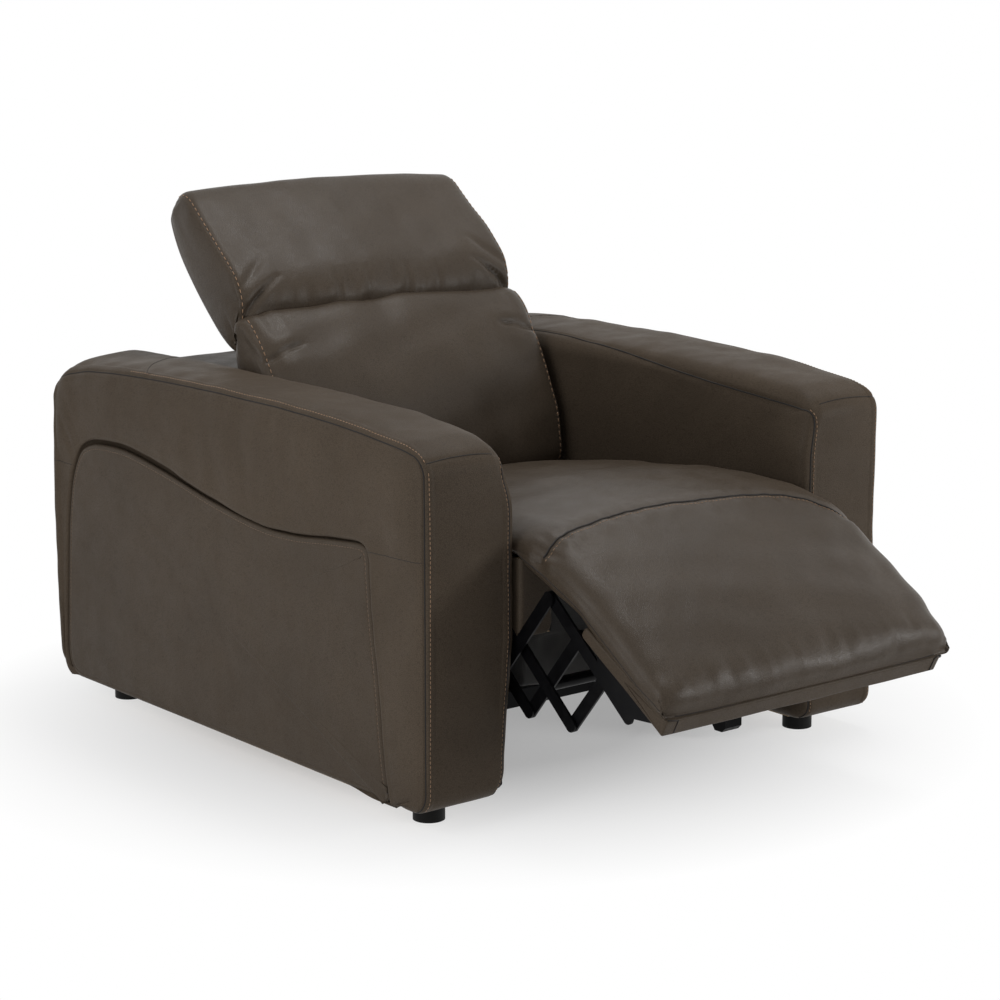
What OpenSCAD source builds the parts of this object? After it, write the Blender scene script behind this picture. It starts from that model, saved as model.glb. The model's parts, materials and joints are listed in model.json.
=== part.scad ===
// Power recliner armchair: two upholstered arms on a fixed base, a seat carriage that slides
// forward between them, a reclining back with a tilting headrest, and a parallelogram footrest.
// X runs across the chair, the front faces -Y and Z is up. The origin is on the floor, midway
// between the four feet. The chair is drawn with its footrest part open.

/* [Overall] */
// Width over both arms
chair_w = 990; // [900:10:1100]
// Depth of an arm, front to rear
arm_d = 1106; // [1000:2:1200]
// Height of an arm at its front and rear ends
arm_h = 604; // [570:2:640]

/* [Arms] */
// Width of one arm
arm_w = 166; // [150:1:175]
// Height that the middle of an arm rises above its ends
arm_rise = 32; // [20:1:40]
// Thickness of leather and foam on an arm
arm_pad = 12; // [10:1:14]
// Radius of the upper corners of an arm
arm_top_r = 42; // [30:1:50]
// Radius of the lower corners of an arm
arm_low_r = 38; // [30:1:45]
// Depth of the recess for the lower side panel
panel_recess = 7; // [5:0.5:8]
// Thickness of the boards in an arm
arm_board = 18; // [15:1:22]

/* [Feet] */
// Height of a foot
foot_h = 40; // [35:1:50]
// Diameter of a foot
foot_d = 52; // [45:1:56]
// Distance of a foot from the outer face of its arm
foot_edge = 83; // [75:1:85]
// Distance of a foot from the end of its arm
foot_end = 98; // [90:1:120]

/* [Seat] */
// Distance that the seat cushion stands in front of the arms
seat_reach = 32; // [20:1:40]
// Height of the seat box at its front, to its top edge
seat_front_h = 428; // [424:1:432]
// Height of the seat box at its rear, to its top edge
seat_rear_h = 339; // [336:1:342]
// Thickness of the seat cushion at its front edge
seat_pad = 34; // [28:1:40]
// Height of the crown of the seat cushion
seat_crown = 24; // [15:1:28]
// Gap between the seat cushion and an arm
seat_gap = 7; // [6:0.5:8]
// Gap between the seat box and an arm, which holds a side plate and a slide rail
seat_box_gap = 17; // [16:1:20]

/* [Back] */
// Height of the back cushion, to its top edge
back_top_h = 706; // [690:1:706]
// Height of the shelf behind the headrest
shelf_h = 622; // [616:1:626]
// Distance of the rear cover from the rear end of the arms
back_inset = 91; // [90:1:100]
// Gap between the back and an arm
back_side_gap = 19; // [19:1:25]

/* [Headrest] */
// Length of the headrest, from its hinge to its top
head_len = 286; // [260:2:290]
// Thickness of the headrest, front to rear
head_t = 106; // [96:1:106]
// Angle of the raised headrest above level
head_angle = 43; // [38:1:45]

/* [Footrest] */
// Angle of the part-open footrest below level
rest_angle = 34.8; // [30:0.2:40]
// Length of the footrest pad
rest_len = 298; // [280:2:300]
// Thickness of the wrapped footrest board
rest_board = 30; // [25:1:30]
// Gap between the footrest and an arm, seen from the front
rest_side_gap = 17; // [17:1:25]

/* [Linkage] */
// Spacing of the pivots along the linkage bars
bar_pitch = 78; // [70:1:80]
// Spacing of the pivots across the linkage bars
bar_drop = 120; // [110:1:120]
// Width of a linkage bar
bar_w = 22; // [18:1:22]
// Thickness of a linkage bar
bar_t = 4; // [3:0.5:4]
// Diameter of a linkage rivet
rivet_d = 8; // [6:0.5:10]
// Radial clearance of a pivot
pivot_gap = 0.05; // [0.03:0.01:0.08]

/* [Hidden] */
$fn = 48;

// Small clearances and overruns
over = 1;
slip = 0.5;
clear = 0.3;
// A strap is this much narrower on each side than its round ends, so that they cross cleanly
strap_ease = 0.2;
// Steps in a rounded corner and points in one piece of a spline
corner_steps = 6;
spline_steps = 4;

// Places worked out from the sizes above
half_w = chair_w / 2;
inner_x = half_w - arm_w;
frame_half = inner_x - seat_box_gap;
back_half = inner_x - back_side_gap;
rest_half = inner_x - rest_side_gap;
front_y = -arm_d / 2;
rear_y = arm_d / 2;
foot_x = half_w - foot_edge;
foot_y = rear_y - foot_end;
foot_stud_r = 4;
foot_stud_l = 14;

// Arm details
arch_power = 2.4;
arch_points = 14;
frame_post = 70;
frame_rail = 60;
// Lower side panel: shares of the arm's depth and height, from the rear bottom round to the front
panel_shares = [[0.486, 0.066], [0.480, 0.237], [0.466, 0.530], [0.442, 0.722], [0.383, 0.810],
    [0.275, 0.816], [0.090, 0.767], [-0.092, 0.714], [-0.264, 0.730], [-0.344, 0.742],
    [-0.371, 0.704], [-0.377, 0.583], [-0.398, 0.281], [-0.428, 0.066]];
panel_t = panel_recess - slip;
panel_gap = 1.5;

// Steelwork under the seat
rail_inset = 79;
rail_x = inner_x - rail_inset;
rail_w = 40;
rail_t = 4;
rail_low = 34;
rail_high = 74;
rail_set_front = 113;
rail_set_rear = 160;
rail_front = front_y + rail_set_front;
rail_rear = rear_y - rail_set_rear;
toe_low = 12;
toe_len = 26;
toe_slope = 16;
cross_size = 30;
cross_wall = 2.5;
cross_front_y = -250;
cross_rear_y = 262;
cross_plate = 60;
// Slide rail and its runner
slide_z = 180;
slide_h = 42;
slide_lip = 3;
slide_front = -430;
slide_rear = 330;
runner_front = -360;
runner_rear = 140;
// Drive
motor_y = 20;
motor_len = 90;
motor_w = 84;
motor_h = 80;
motor_z = 112;
motor_can_r = 24;
motor_can_l = 96;
spindle_z = 150;
spindle_r = 12;
spindle_front = -420;
nut_y = -190;
nut_len = 44;
nut_w = 40;
nut_post = 14;
cap_r = 15;
cap_l = 8;
// Rear panel
rear_panel_t = 8;
rear_panel_low = 60;
rear_panel_high = 232;
inlet_r = 9;
inlet_flange_r = 14;
inlet_flange_t = 2;
inlet_depth = 16;
inlet_bore_r = 4;
inlet_bore_l = 10;
inlet_x = -220;
inlet_z = 150;
// Control plate on the inner face of the sitter's right arm
plate_y = -262;
plate_z = 548;
plate_l = 74;
plate_h = 34;
plate_t = 3;
plate_corner = 8;
button_r = 8;
button_proud = 2;
button_l = 10;
button_pitch = 32;
button_gap = 0.1;
pocket_wall = 4;
pocket_d = arm_pad + over;

// Seat carriage
seat_front_y = front_y - seat_reach;
seat_rear_y = 138;
frame_front_y = front_y - over;
frame_rear_y = 120;
frame_low = 300;
frame_side = 22;
web_count = 5;
web_w = 56;
web_t = 2;
mid_rail_y = -200;
mid_rail_w = 60;
front_panel_t = 8;
front_panel_low = 302;
facing_w = 62;
facing_t = 10;
facing_r = 26;
// Linkage layers, outside in
plate_x = frame_half;
plate_thick = 4;
layer_gap = 1;
bar_x = plate_x - layer_gap - bar_t;
drive_x = bar_x - layer_gap - bar_t;
mid_x = drive_x - layer_gap - bar_t;
bar_r = bar_w / 2;
rivet_r = rivet_d / 2;
rivet_head_t = 2;
tube_r = 10;
tube_wall = 2;

// Pivots of the linkage as [y, z]. Bars lie along bar_dir, links along link_dir.
hinge_reach = 80;
hinge_h = 379;
pivot_h = [front_y - hinge_reach, hinge_h];
bar_dir = 220.8;
link_dir = 129.3;
function polar(r, a) = [r * cos(a), r * sin(a)];
pivot_a = pivot_h - polar(bar_drop, link_dir);
rear_drop_share = 0.556;
pivot_a2 = pivot_a - polar(bar_drop * rear_drop_share, link_dir);
pivot_u = pivot_h + polar(bar_pitch, bar_dir);
pivot_b = pivot_h + polar(bar_pitch * 2, bar_dir);
pivot_p = pivot_a + polar(bar_pitch, bar_dir);
pivot_e = pivot_a + polar(bar_pitch * 2, bar_dir);
pivot_v = pivot_a2 + polar(bar_pitch, bar_dir);
bar_end_pitch = 234;
bar_bend = 1;
pivot_end = pivot_h + polar(bar_end_pitch, bar_dir - bar_bend);

// Back and its hinge
back_rear_y = rear_y - back_inset;
recline_y = 150;
recline_h = 320;
recline = [recline_y, recline_h];
recline_r = 6;
recline_eye = 16;
recline_pin_l = 30;
back_bracket_top = 420;
// The back leans along a line: its foot, and how far back it is where it passes the seat's arm height
lean_set = 20;
lean_foot = 15;
lean_low = [recline_y + lean_set, recline_h + lean_foot];
lean_run = 68;
lean_rise = 265;
lean_high = lean_low + [lean_run, lean_rise];
back_low = 240;
back_skin = 6;
back_side = 18;
back_rail = 24;
back_rail_set = 42;
shelf_front = 262;
back_corner = 30;
back_window = 70;
stay_x = 120;
stay_w = 25;
stay_t = 12;
barrel_r = 9;
// Headrest hinge, and the headrest's own directions
head_pivot_set = 7;
head_pivot_h = 690;
stay_front = lean_high[0];
head_pivot = [stay_front + head_pivot_set, head_pivot_h];
head_start = 28;
head_rear = 40;
head_board_t = 12;
head_side_gap = 21;
head_half = inner_x - head_side_gap;
head_pin_r = 5;
ear_t = 4;
ear_gap = 0.5;

// Rounded corners: each entry is [y, z, radius], and the result is a closed outline
function unit(v) = v / norm(v);
function arc_points(p, a, b, r) =
    let (u = unit(a - p), v = unit(b - p), half = acos(u * v) / 2,
        run = r / tan(half), mid = unit(u + v), c = p + mid * (r / sin(half)),
        from = p + u * run - c, to = p + v * run - c,
        turn = acos(unit(from) * unit(to)))
    [for (i = [0:corner_steps]) let (t = i / corner_steps)
        c + (from * sin((1 - t) * turn) + to * sin(t * turn)) / sin(turn)];
function flat2(p) = [p[0], p[1]];
function rounded(pts) = [for (i = [0:len(pts) - 1])
    let (n = len(pts), p = pts[i], a = pts[(i + n - 1) % n], b = pts[(i + 1) % n])
    for (q = p[2] > 0 ? arc_points(flat2(p), flat2(a), flat2(b), p[2]) : [flat2(p)]) q];
// A smooth curve through control points, closed or open
function blend4(a, b, c, d, t) = ((b * 2) + (c - a) * t + (a * 2 - b * 5 + c * 4 - d) * (t * t)
    + (b * 3 - a - c * 3 + d) * (t * t * t)) / 2;
function closed_curve(p, steps) = [for (i = [0:len(p) - 1]) let (n = len(p)) for (j = [0:steps - 1])
    blend4(p[(i + n - 1) % n], p[i], p[(i + 1) % n], p[(i + 2) % n], j / steps)];
function open_curve(p, steps) = concat([for (i = [0:len(p) - 2]) let (n = len(p)) for (j = [0:steps - 1])
    blend4(p[max(i - 1, 0)], p[i], p[i + 1], p[min(i + 2, n - 1)], j / steps)], [p[len(p) - 1]]);

// Upright slab: an outline in Y and Z, carried along X from x0 to x1
module slab(x0, x1) {
    translate([x0, 0, 0]) rotate([90, 0, 90]) linear_extrude(x1 - x0) children();
}
// Round bar along X
module round_x(x0, x1, at, r) {
    translate([x0, at[0], at[1]]) rotate([0, 90, 0]) cylinder(h = x1 - x0, r = r);
}
// Block between two corners
module block(low, high) {
    translate(low) cube(high - low);
}
// Flat strap with round ends between two [y, z] points
module strap(a, b, r) {
    run = norm(b - a);
    turn = atan2(b[1] - a[1], b[0] - a[0]);
    translate(a) circle(r);
    translate(b) circle(r);
    translate(a) rotate(turn) translate([0, strap_ease - r]) square([run, 2 * (r - strap_ease)]);
}
// Child drawn on the right side, or mirrored to the left side of the chair as it is sat in
module side(s) {
    if (s > 0) children();
    else mirror([1, 0, 0]) children();
}

// Outline of an arm, drawn in by d on every side but its bottom: round upper corners with the
// arch between them
function arch_z(t) = 1 - pow(abs(2 * t - 1), arch_power);
function arch_line(d) = [for (i = [1:arch_points - 1]) let (t = i / arch_points)
    [(rear_y - arm_top_r) * (1 - 2 * t), arm_h - d + arm_rise * arch_z(t)]];
function arm_outline(d, low) = let (r = max(arm_top_r - d, over), top = [0, arm_h - d])
    concat([[rear_y - d, low]],
        arc_points([rear_y - d, arm_h - d], [rear_y - d, low], top, r), arch_line(d),
        arc_points([front_y + d, arm_h - d], top, [front_y + d, low], r), [[front_y + d, low]]);
// Lower corners of an arm are cut round
module arm_shape(d, low) {
    difference() {
        polygon(arm_outline(d, low));
        for (s = [-1, 1]) translate([s * (rear_y - arm_low_r), foot_h + arm_low_r])
            difference() {
                translate([s > 0 ? 0 : -arm_low_r - over, -arm_low_r - over])
                    square(arm_low_r + over);
                circle(arm_low_r - d);
            }
    }
}
module panel_shape(gap) {
    curve = open_curve([for (s = panel_shares) [s[0] * arm_d, s[1] * arm_h]], spline_steps);
    offset_y = gap / arm_d * 2;
    offset_z = gap / arm_h * 2;
    scale([1 - offset_y, 1 - offset_z]) polygon(curve);
}
module control_pocket() {
    half_l = plate_l / 2 - pocket_wall;
    half_h = plate_h / 2 - pocket_wall;
    block([-inner_x - pocket_d, plate_y - half_l, plate_z - half_h],
        [-inner_x + over, plate_y + half_l, plate_z + half_h]);
}
module arm_cover(s) {
    color("#544c44") difference() {
        side(s) difference() {
            slab(inner_x, half_w) arm_shape(0, foot_h);
            slab(inner_x + arm_pad, half_w - arm_pad) arm_shape(arm_pad, foot_h - over);
            slab(half_w - panel_recess, half_w + over) panel_shape(0);
        }
        if (s < 0) control_pocket();
    }
}
module arm_side_panel(s) {
    color("#4a443d") side(s) slab(half_w - panel_recess, half_w - panel_recess + panel_t)
        intersection() {
            panel_shape(panel_gap);
            arm_shape(panel_gap, foot_h);
        }
}
module arm_frame(s) {
    x0 = inner_x + arm_pad + slip;
    x1 = half_w - arm_pad - slip;
    y1 = rear_y - arm_pad - arm_top_r;
    z0 = foot_h + arm_board;
    z1 = arm_h - arm_pad - slip;
    color("#c8a878") side(s) difference() {
        block([x0 + slip, -y1, z0], [x1, y1, z1]);
        block([x0 + arm_board, -y1 + arm_board, z0 - over], [x1 + over, y1 - arm_board, z1 - arm_board]);
        for (t = [-1, 1]) block([x0 - over, t > 0 ? frame_post / 2 : -y1 + frame_post, z0 + frame_rail],
            [x1 + over, t > 0 ? y1 - frame_post : -frame_post / 2, z1 - frame_rail * 2]);
        if (s < 0) block([x0 - over, plate_y - plate_l, plate_z - plate_h],
            [x0 + arm_board * 2, plate_y + plate_l, plate_z + plate_h]);
    }
}
module arm_base_board(s) {
    y1 = rear_y - arm_low_r - arm_pad;
    color("#b89868") side(s) difference() {
        block([inner_x + arm_pad + clear, -y1, foot_h], [half_w - arm_pad - clear, y1, foot_h + arm_board]);
        for (t = [-1, 1]) translate([foot_x, t * foot_y, foot_h - over])
            cylinder(h = foot_stud_l + 2 * over, r = foot_stud_r + clear);
    }
}
module foot(s, t) {
    color("#0f0f0f") translate([s * foot_x, t * foot_y, 0]) {
        cylinder(h = foot_h, r = foot_d / 2);
        translate([0, 0, foot_h - over]) cylinder(h = foot_stud_l + over, r = foot_stud_r);
    }
}

// Steel base rail: an angle with a toe at its front
module base_rail(s) {
    color("#161616") side(s) union() {
        difference() {
            block([rail_x, rail_front, rail_low], [rail_x + rail_w, rail_rear, rail_high]);
            block([rail_x - over, rail_front - over, rail_low + rail_t],
                [rail_x + rail_w - rail_t, rail_rear + over, rail_high + over]);
        }
        slab(rail_x, rail_x + rail_w) translate([rail_front, 0]) polygon([[0, rail_low + rail_t],
            [0, toe_low + toe_slope / 2], [toe_slope / 2, toe_low], [toe_len, toe_low],
            [toe_len + toe_slope, rail_low], [toe_len + toe_slope, rail_low + rail_t]]);
    }
}
module cross_member(y) {
    color("#161616") {
        difference() {
            block([-inner_x + cross_wall, y, rail_high],
                [inner_x - cross_wall, y + cross_size, rail_high + cross_size]);
            block([-inner_x, y + cross_wall, rail_high + cross_wall],
                [inner_x, y + cross_size - cross_wall, rail_high + cross_size - cross_wall]);
        }
        for (s = [-1, 1]) side(s)
            block([inner_x - cross_wall, y - cross_plate / 2, rail_high - cross_plate / 2],
                [inner_x, y + cross_plate, rail_high + cross_plate]);
    }
}
module slide_rail(s) {
    color("#3a3a3c") side(s) difference() {
        block([plate_x + plate_thick + slide_lip, slide_front, slide_z - slide_h / 2],
            [inner_x, slide_rear, slide_z + slide_h / 2]);
        block([plate_x + plate_thick, slide_front - over, slide_z - slide_h / 2 + slide_lip],
            [inner_x - slide_lip, slide_rear + over, slide_z + slide_h / 2 - slide_lip]);
    }
}
module runner(s) {
    h = slide_h / 2 - slide_lip - slip;
    color("#8a8c8e") side(s) block([plate_x + plate_thick, runner_front, slide_z - h],
        [inner_x - slide_lip - slip, runner_rear, slide_z + h]);
}
// Round bar along Y
module round_y(y0, y1, x, z, r) {
    translate([x, y0, z]) rotate([-90, 0, 0]) cylinder(h = y1 - y0, r = r);
}
module drive_motor() {
    motor_end = motor_y + motor_len;
    can_y = motor_y + motor_can_r;
    color("#1b1b1d") difference() {
        union() {
            block([-motor_w / 2, motor_y, motor_z], [motor_w / 2, motor_end, motor_z + motor_h]);
            round_y(can_y, can_y + motor_can_l, (motor_w + motor_can_r) / 2,
                motor_z + motor_h - motor_can_r - over, motor_can_r);
            block([-motor_w / 2, motor_end - over, rail_high + cross_size / 2],
                [motor_w / 2, cross_rear_y, motor_z + cross_size]);
            block([-motor_w / 4, motor_end, rail_high], [motor_w / 4, cross_rear_y, rail_high + cross_size]);
        }
        round_y(motor_y - over, motor_y - over + motor_len / 2, 0, spindle_z, spindle_r + clear);
    }
}
module drive_spindle() {
    color("#9a9c9e") {
        round_y(spindle_front, motor_y + motor_len / 2 - over - slip, 0, spindle_z, spindle_r);
        round_y(spindle_front - cap_l, spindle_front + over, 0, spindle_z, cap_r);
    }
}
module drive_nut() {
    color("#c9c9c4") difference() {
        union() {
            block([-nut_w / 2, nut_y - nut_len / 2, spindle_z - nut_w / 2],
                [nut_w / 2, nut_y + nut_len / 2, spindle_z + nut_w / 2]);
            block([-nut_w / 2, nut_y - nut_post / 2, spindle_z],
                [nut_w / 2, nut_y + nut_post / 2, frame_low]);
        }
        round_y(nut_y - nut_len, nut_y + nut_len, 0, spindle_z, spindle_r + pivot_gap);
    }
}
module rear_panel() {
    color("#3d3832") difference() {
        block([-inner_x, rear_y - rear_panel_t, rear_panel_low], [inner_x, rear_y, rear_panel_high]);
        round_y(rear_y - rear_panel_t - over, rear_y + over, inlet_x, inlet_z, inlet_r + clear);
    }
}
module power_inlet() {
    color("#101010") translate([inlet_x, rear_y, inlet_z]) rotate([90, 0, 0]) difference() {
        union() {
            cylinder(h = inlet_depth, r = inlet_r);
            translate([0, 0, -inlet_flange_t]) cylinder(h = inlet_flange_t, r = inlet_flange_r);
        }
        translate([0, 0, -inlet_flange_t - over]) cylinder(h = inlet_bore_l + over, r = inlet_bore_r);
    }
}
module control_plate() {
    color("#222224") difference() {
        slab(-inner_x, -inner_x + plate_t) translate([plate_y, plate_z]) polygon(rounded([
            [plate_l / 2, plate_h / 2, plate_corner], [plate_l / 2, -plate_h / 2, plate_corner],
            [-plate_l / 2, -plate_h / 2, plate_corner], [-plate_l / 2, plate_h / 2, plate_corner]]));
        for (t = [-1, 1]) round_x(-inner_x - over, -inner_x + plate_t + over,
            [plate_y + t * button_pitch / 2, plate_z], button_r + button_gap);
    }
}
module button(t) {
    face = -inner_x + plate_t + button_proud;
    color("#b4b6b8") round_x(face - button_l, face, [plate_y + t * button_pitch / 2, plate_z], button_r);
}

// Seat carriage
function seat_line(y) = seat_front_h + (seat_rear_h - seat_front_h)
    * (y - frame_front_y) / (frame_rear_y - frame_front_y);
module seat_frame() {
    color("#c8a878") difference() {
        slab(-frame_half, frame_half) polygon([[frame_front_y, frame_low],
            [frame_front_y, seat_line(frame_front_y)], [frame_rear_y, seat_line(frame_rear_y)],
            [frame_rear_y, frame_low]]);
        difference() {
            block([-frame_half + frame_side, frame_front_y + frame_side, frame_low - over],
                [frame_half - frame_side, frame_rear_y - frame_side, seat_front_h + over]);
            block([-frame_half, mid_rail_y - mid_rail_w / 2, frame_low - over],
                [frame_half, mid_rail_y + mid_rail_w / 2, frame_low + frame_side]);
        }
    }
}
module seat_webbing() {
    pitch = 2 * (frame_half - frame_side) / web_count;
    color("#2a2a28") for (i = [0:web_count - 1]) {
        x = -frame_half + frame_side + pitch * (i + 1 / 2);
        y0 = frame_front_y + over;
        y1 = frame_rear_y - over;
        slab(x - web_w / 2, x + web_w / 2) polygon([[y0, seat_line(y0)], [y1, seat_line(y1)],
            [y1, seat_line(y1) + web_t], [y0, seat_line(y0) + web_t]]);
    }
}
module seat_front_panel() {
    x1 = frame_half - facing_w;
    color("#1c1b1a") block([-x1, frame_front_y - front_panel_t, front_panel_low],
        [x1, frame_front_y, seat_front_h]);
}
module seat_facing(s) {
    x0 = frame_half - facing_w + clear;
    x1 = frame_half - over;
    color("#544c44") side(s) translate([0, frame_front_y, 0]) rotate([90, 0, 0]) linear_extrude(facing_t)
        polygon(rounded([[x0, front_panel_low, facing_r], [x0, seat_front_h, 0], [x1, seat_front_h, 0],
            [x1, front_panel_low, 0]]));
}
module side_plate(s) {
    x0 = plate_x;
    x1 = plate_x + plate_thick;
    low_front = [runner_front + bar_r, slide_z];
    low_rear = [runner_rear - bar_r, slide_z];
    high_front = [frame_front_y + bar_w, frame_low + bar_r];
    high_rear = [frame_rear_y - bar_r, frame_low + bar_r];
    color("#1a1a1b") side(s) union() {
        slab(x0, x1) {
            strap(pivot_h, pivot_a, bar_r);
            strap(pivot_a, pivot_a2, bar_r);
            strap(pivot_a2, low_front, bar_r);
            strap(low_front, low_rear, bar_r);
            strap(low_rear, recline, bar_r);
            strap(recline, high_rear, bar_r);
            strap(high_rear, high_front, bar_r);
            strap(high_front, pivot_a, bar_r);
            translate(recline) circle(recline_eye);
        }
        round_x(bar_x - rivet_head_t / 2, x0 + over, pivot_h, rivet_r);
        for (p = [pivot_a, pivot_a2]) round_x(drive_x - rivet_head_t / 2, x0 + over, p, rivet_r);
        round_x(back_half + layer_gap - recline_pin_l, x0 + over, recline, recline_r);
    }
}

// Linkage bars. Each rivet is fixed to one bar and turns in the other.
module link_bar(x, a, b, holes) {
    difference() {
        slab(x, x + bar_t) strap(a, b, bar_r);
        for (p = holes) round_x(x - over, x + bar_t + over, p, rivet_r + pivot_gap);
    }
}
module footrest_bar(s) {
    n = rest_normal;
    foot_a = rest_point(rest_board_start + bracket_gap, rest_low);
    foot_b = rest_point(rest_board_start + rest_board_len - bracket_gap, rest_low);
    color("#1a1a1b") side(s) union() {
        difference() {
            slab(bar_x, bar_x + bar_t) {
                strap(pivot_h, pivot_end, bar_r);
                polygon([foot_a, foot_b, pivot_end, pivot_b]);
            }
            round_x(bar_x - over, bar_x + bar_t + over, pivot_h, rivet_r + pivot_gap);
        }
        slab(bar_x - bracket_w, bar_x + bar_t)
            polygon([foot_a, foot_b, foot_b - n * bar_t, foot_a - n * bar_t]);
        for (p = [pivot_u, pivot_b]) round_x(mid_x - rivet_head_t / 2, bar_x + over, p, rivet_r);
    }
}
bracket_gap = 24;
bracket_w = 34;
module drive_link(s) {
    color("#1a1a1b") side(s) union() {
        link_bar(drive_x, pivot_a, pivot_e, [pivot_a]);
        round_x(mid_x - layer_gap, drive_x + over, pivot_p, rivet_r);
        round_x(mid_x - rivet_head_t / 2, drive_x + over, pivot_e, rivet_r);
    }
}
module cross_tube() {
    x1 = mid_x - layer_gap;
    color("#2a2b2c") difference() {
        round_x(-x1, x1, pivot_p, tube_r);
        round_x(-x1 + tube_wall, x1 - tube_wall, pivot_p, tube_r - tube_wall);
    }
}
module rear_link(s) {
    color("#1a1a1b") side(s) union() {
        link_bar(drive_x, pivot_a2, pivot_v, [pivot_a2]);
        round_x(mid_x - rivet_head_t / 2, drive_x + over, pivot_v, rivet_r);
    }
}
module mid_link(s) {
    color("#1a1a1b") side(s) link_bar(mid_x, pivot_u, pivot_v, [pivot_u, pivot_p, pivot_v]);
}
module front_link(s) {
    color("#1a1a1b") side(s) link_bar(mid_x, pivot_b, pivot_e, [pivot_b, pivot_e]);
}

// Footrest directions: along the pad, and square to it, measured from the main pivot
rest_dir = [-cos(rest_angle), -sin(rest_angle)];
rest_normal = [-sin(rest_angle), cos(rest_angle)];
rest_low = 20;
rest_board_start = 86;
rest_board_len = 222;
rest_pad_start = 3;
rest_pad_t = 26;
rest_crown = 22;
rest_corner = 9;
function rest_point(s, t) = pivot_h + rest_dir * s + rest_normal * t;
module footrest_board() {
    a = rest_board_start;
    b = rest_board_start + rest_board_len;
    t0 = rest_low;
    t1 = rest_low + rest_board;
    corners = [[a, t0], [a, t1], [b, t1], [b, t0]];
    color("#4a443d") slab(-rest_half, rest_half) polygon(rounded([for (c = corners)
        let (p = rest_point(c[0], c[1])) [p[0], p[1], rest_corner]]));
}

// Soft forms: a closed [y, z] outline carried across X, drawn in at its two sides and crowned
// between them. The outline's control points are shares of the form's length and thickness.
form_stations = 14;
form_steps = 3;
edge_power = 5;
function soft_x(i, half) = half * sin(90 * (2 * i / form_stations - 1));
function drawn(u) = 1 - pow(1 - pow(min(abs(u), 1), edge_power), 1 / edge_power);
function clamp01(v) = min(max(v, 0), 1);
function soft_ring(outline, mid, n, half_t, u, edge, crown) = [for (p = outline)
    let (rel = p - mid, lift = clamp01((rel * n) / half_t), pull = edge * drawn(u) / norm(rel))
    p - rel * min(pull, 1 - clear) + n * (crown * (1 - u * u) * lift)];
module soft_form(outline, half, mid, n, half_t, edge, crown) {
    count = len(outline);
    points = [for (i = [0:form_stations]) let (x = soft_x(i, half))
        for (q = soft_ring(outline, mid, n, half_t, x / half, edge, crown)) [x, q[0], q[1]]];
    walls = [for (i = [0:form_stations - 1]) for (j = [0:count - 1])
        let (a = i * count + j, b = i * count + (j + 1) % count)
        for (f = [[a, b, b + count], [a, b + count, a + count]]) f];
    caps = concat([for (j = [1:count - 2]) [0, j + 1, j]],
        [for (j = [1:count - 2]) let (k = form_stations * count) [k, k + j, k + j + 1]]);
    polyhedron(points = points, faces = concat(walls, caps), convexity = 6);
}
seat_edge = 16;
// Seat cushion outline: shares of its length, and heights above the seat box in cushion thicknesses
seat_shares = [[0, 0.15], [0.02, 1.25], [0.12, 1.75], [0.35, 1.85], [0.62, 1.65], [0.85, 1.1],
    [0.96, 0.75], [1, 0.35], [0.97, 0.02], [0.7, 0.01], [0.35, 0.01], [0.05, 0.03]];
module seat_cushion() {
    length = seat_rear_y - seat_front_y;
    outline = closed_curve([for (s = seat_shares) let (y = seat_rear_y - s[0] * length)
        [y, seat_line(y) + web_t + s[1] * seat_pad]], form_steps);
    mid = [(seat_rear_y + seat_front_y) / 2, (seat_front_h + seat_rear_h) / 2 + seat_pad];
    color("#5a5047") soft_form(outline, inner_x - seat_gap, mid, [0, 1], seat_pad, seat_edge, seat_crown);
}
rest_edge = 14;
// Footrest pad outline: shares of its length and of its thickness above the board
rest_shares = [[0, 0.05], [0, 0.45], [0.14, 0.75], [0.4, 0.95], [0.66, 1], [0.85, 0.75], [0.96, 0.35],
    [1, 0.12], [0.96, 0.02], [0.6, 0.02], [0.25, 0.02], [0.05, 0.01]];
module footrest_pad() {
    base = rest_low + rest_board + slip;
    outline = closed_curve([for (s = rest_shares) rest_point(rest_pad_start + s[0] * rest_len,
        base + s[1] * rest_pad_t)], form_steps);
    mid = rest_point(rest_pad_start + rest_len / 2, base + rest_pad_t / 2);
    color("#534a42") soft_form(outline, rest_half, mid, rest_normal, rest_pad_t / 2, rest_edge, rest_crown);
}
back_edge = 18;
back_crown = 22;
back_pad_low = 412;
back_gap = 0.4;
back_pad_t = 118;
// Back cushion outline: shares of its height, and of its thickness in front of the lean line
back_shares = [[0.02, 0.1], [0, 0.55], [0.03, 0.98], [0.2, 1.02], [0.45, 1.03], [0.68, 0.92], [0.86, 0.72],
    [0.96, 0.5], [1, 0.33], [0.97, 0.2], [0.82, 0.05], [0.66, 0], [0.5, 0], [0.2, 0]];
function lean_y(z) = lean_low[0] + lean_run * (z - lean_low[1]) / lean_rise;
module back_cushion() {
    height = back_top_h - back_pad_low;
    dir = unit([-lean_rise, lean_run]);
    outline = closed_curve([for (s = back_shares) let (z = back_pad_low + s[0] * height)
        [min(lean_y(z), stay_front) - back_gap - s[1] * back_pad_t, z]], form_steps);
    mid_z = back_pad_low + height / 2;
    color("#5a5047") soft_form(outline, back_half - clear, [lean_y(mid_z) - back_pad_t / 2, mid_z], dir,
        back_pad_t / 2, back_edge, back_crown);
}
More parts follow.
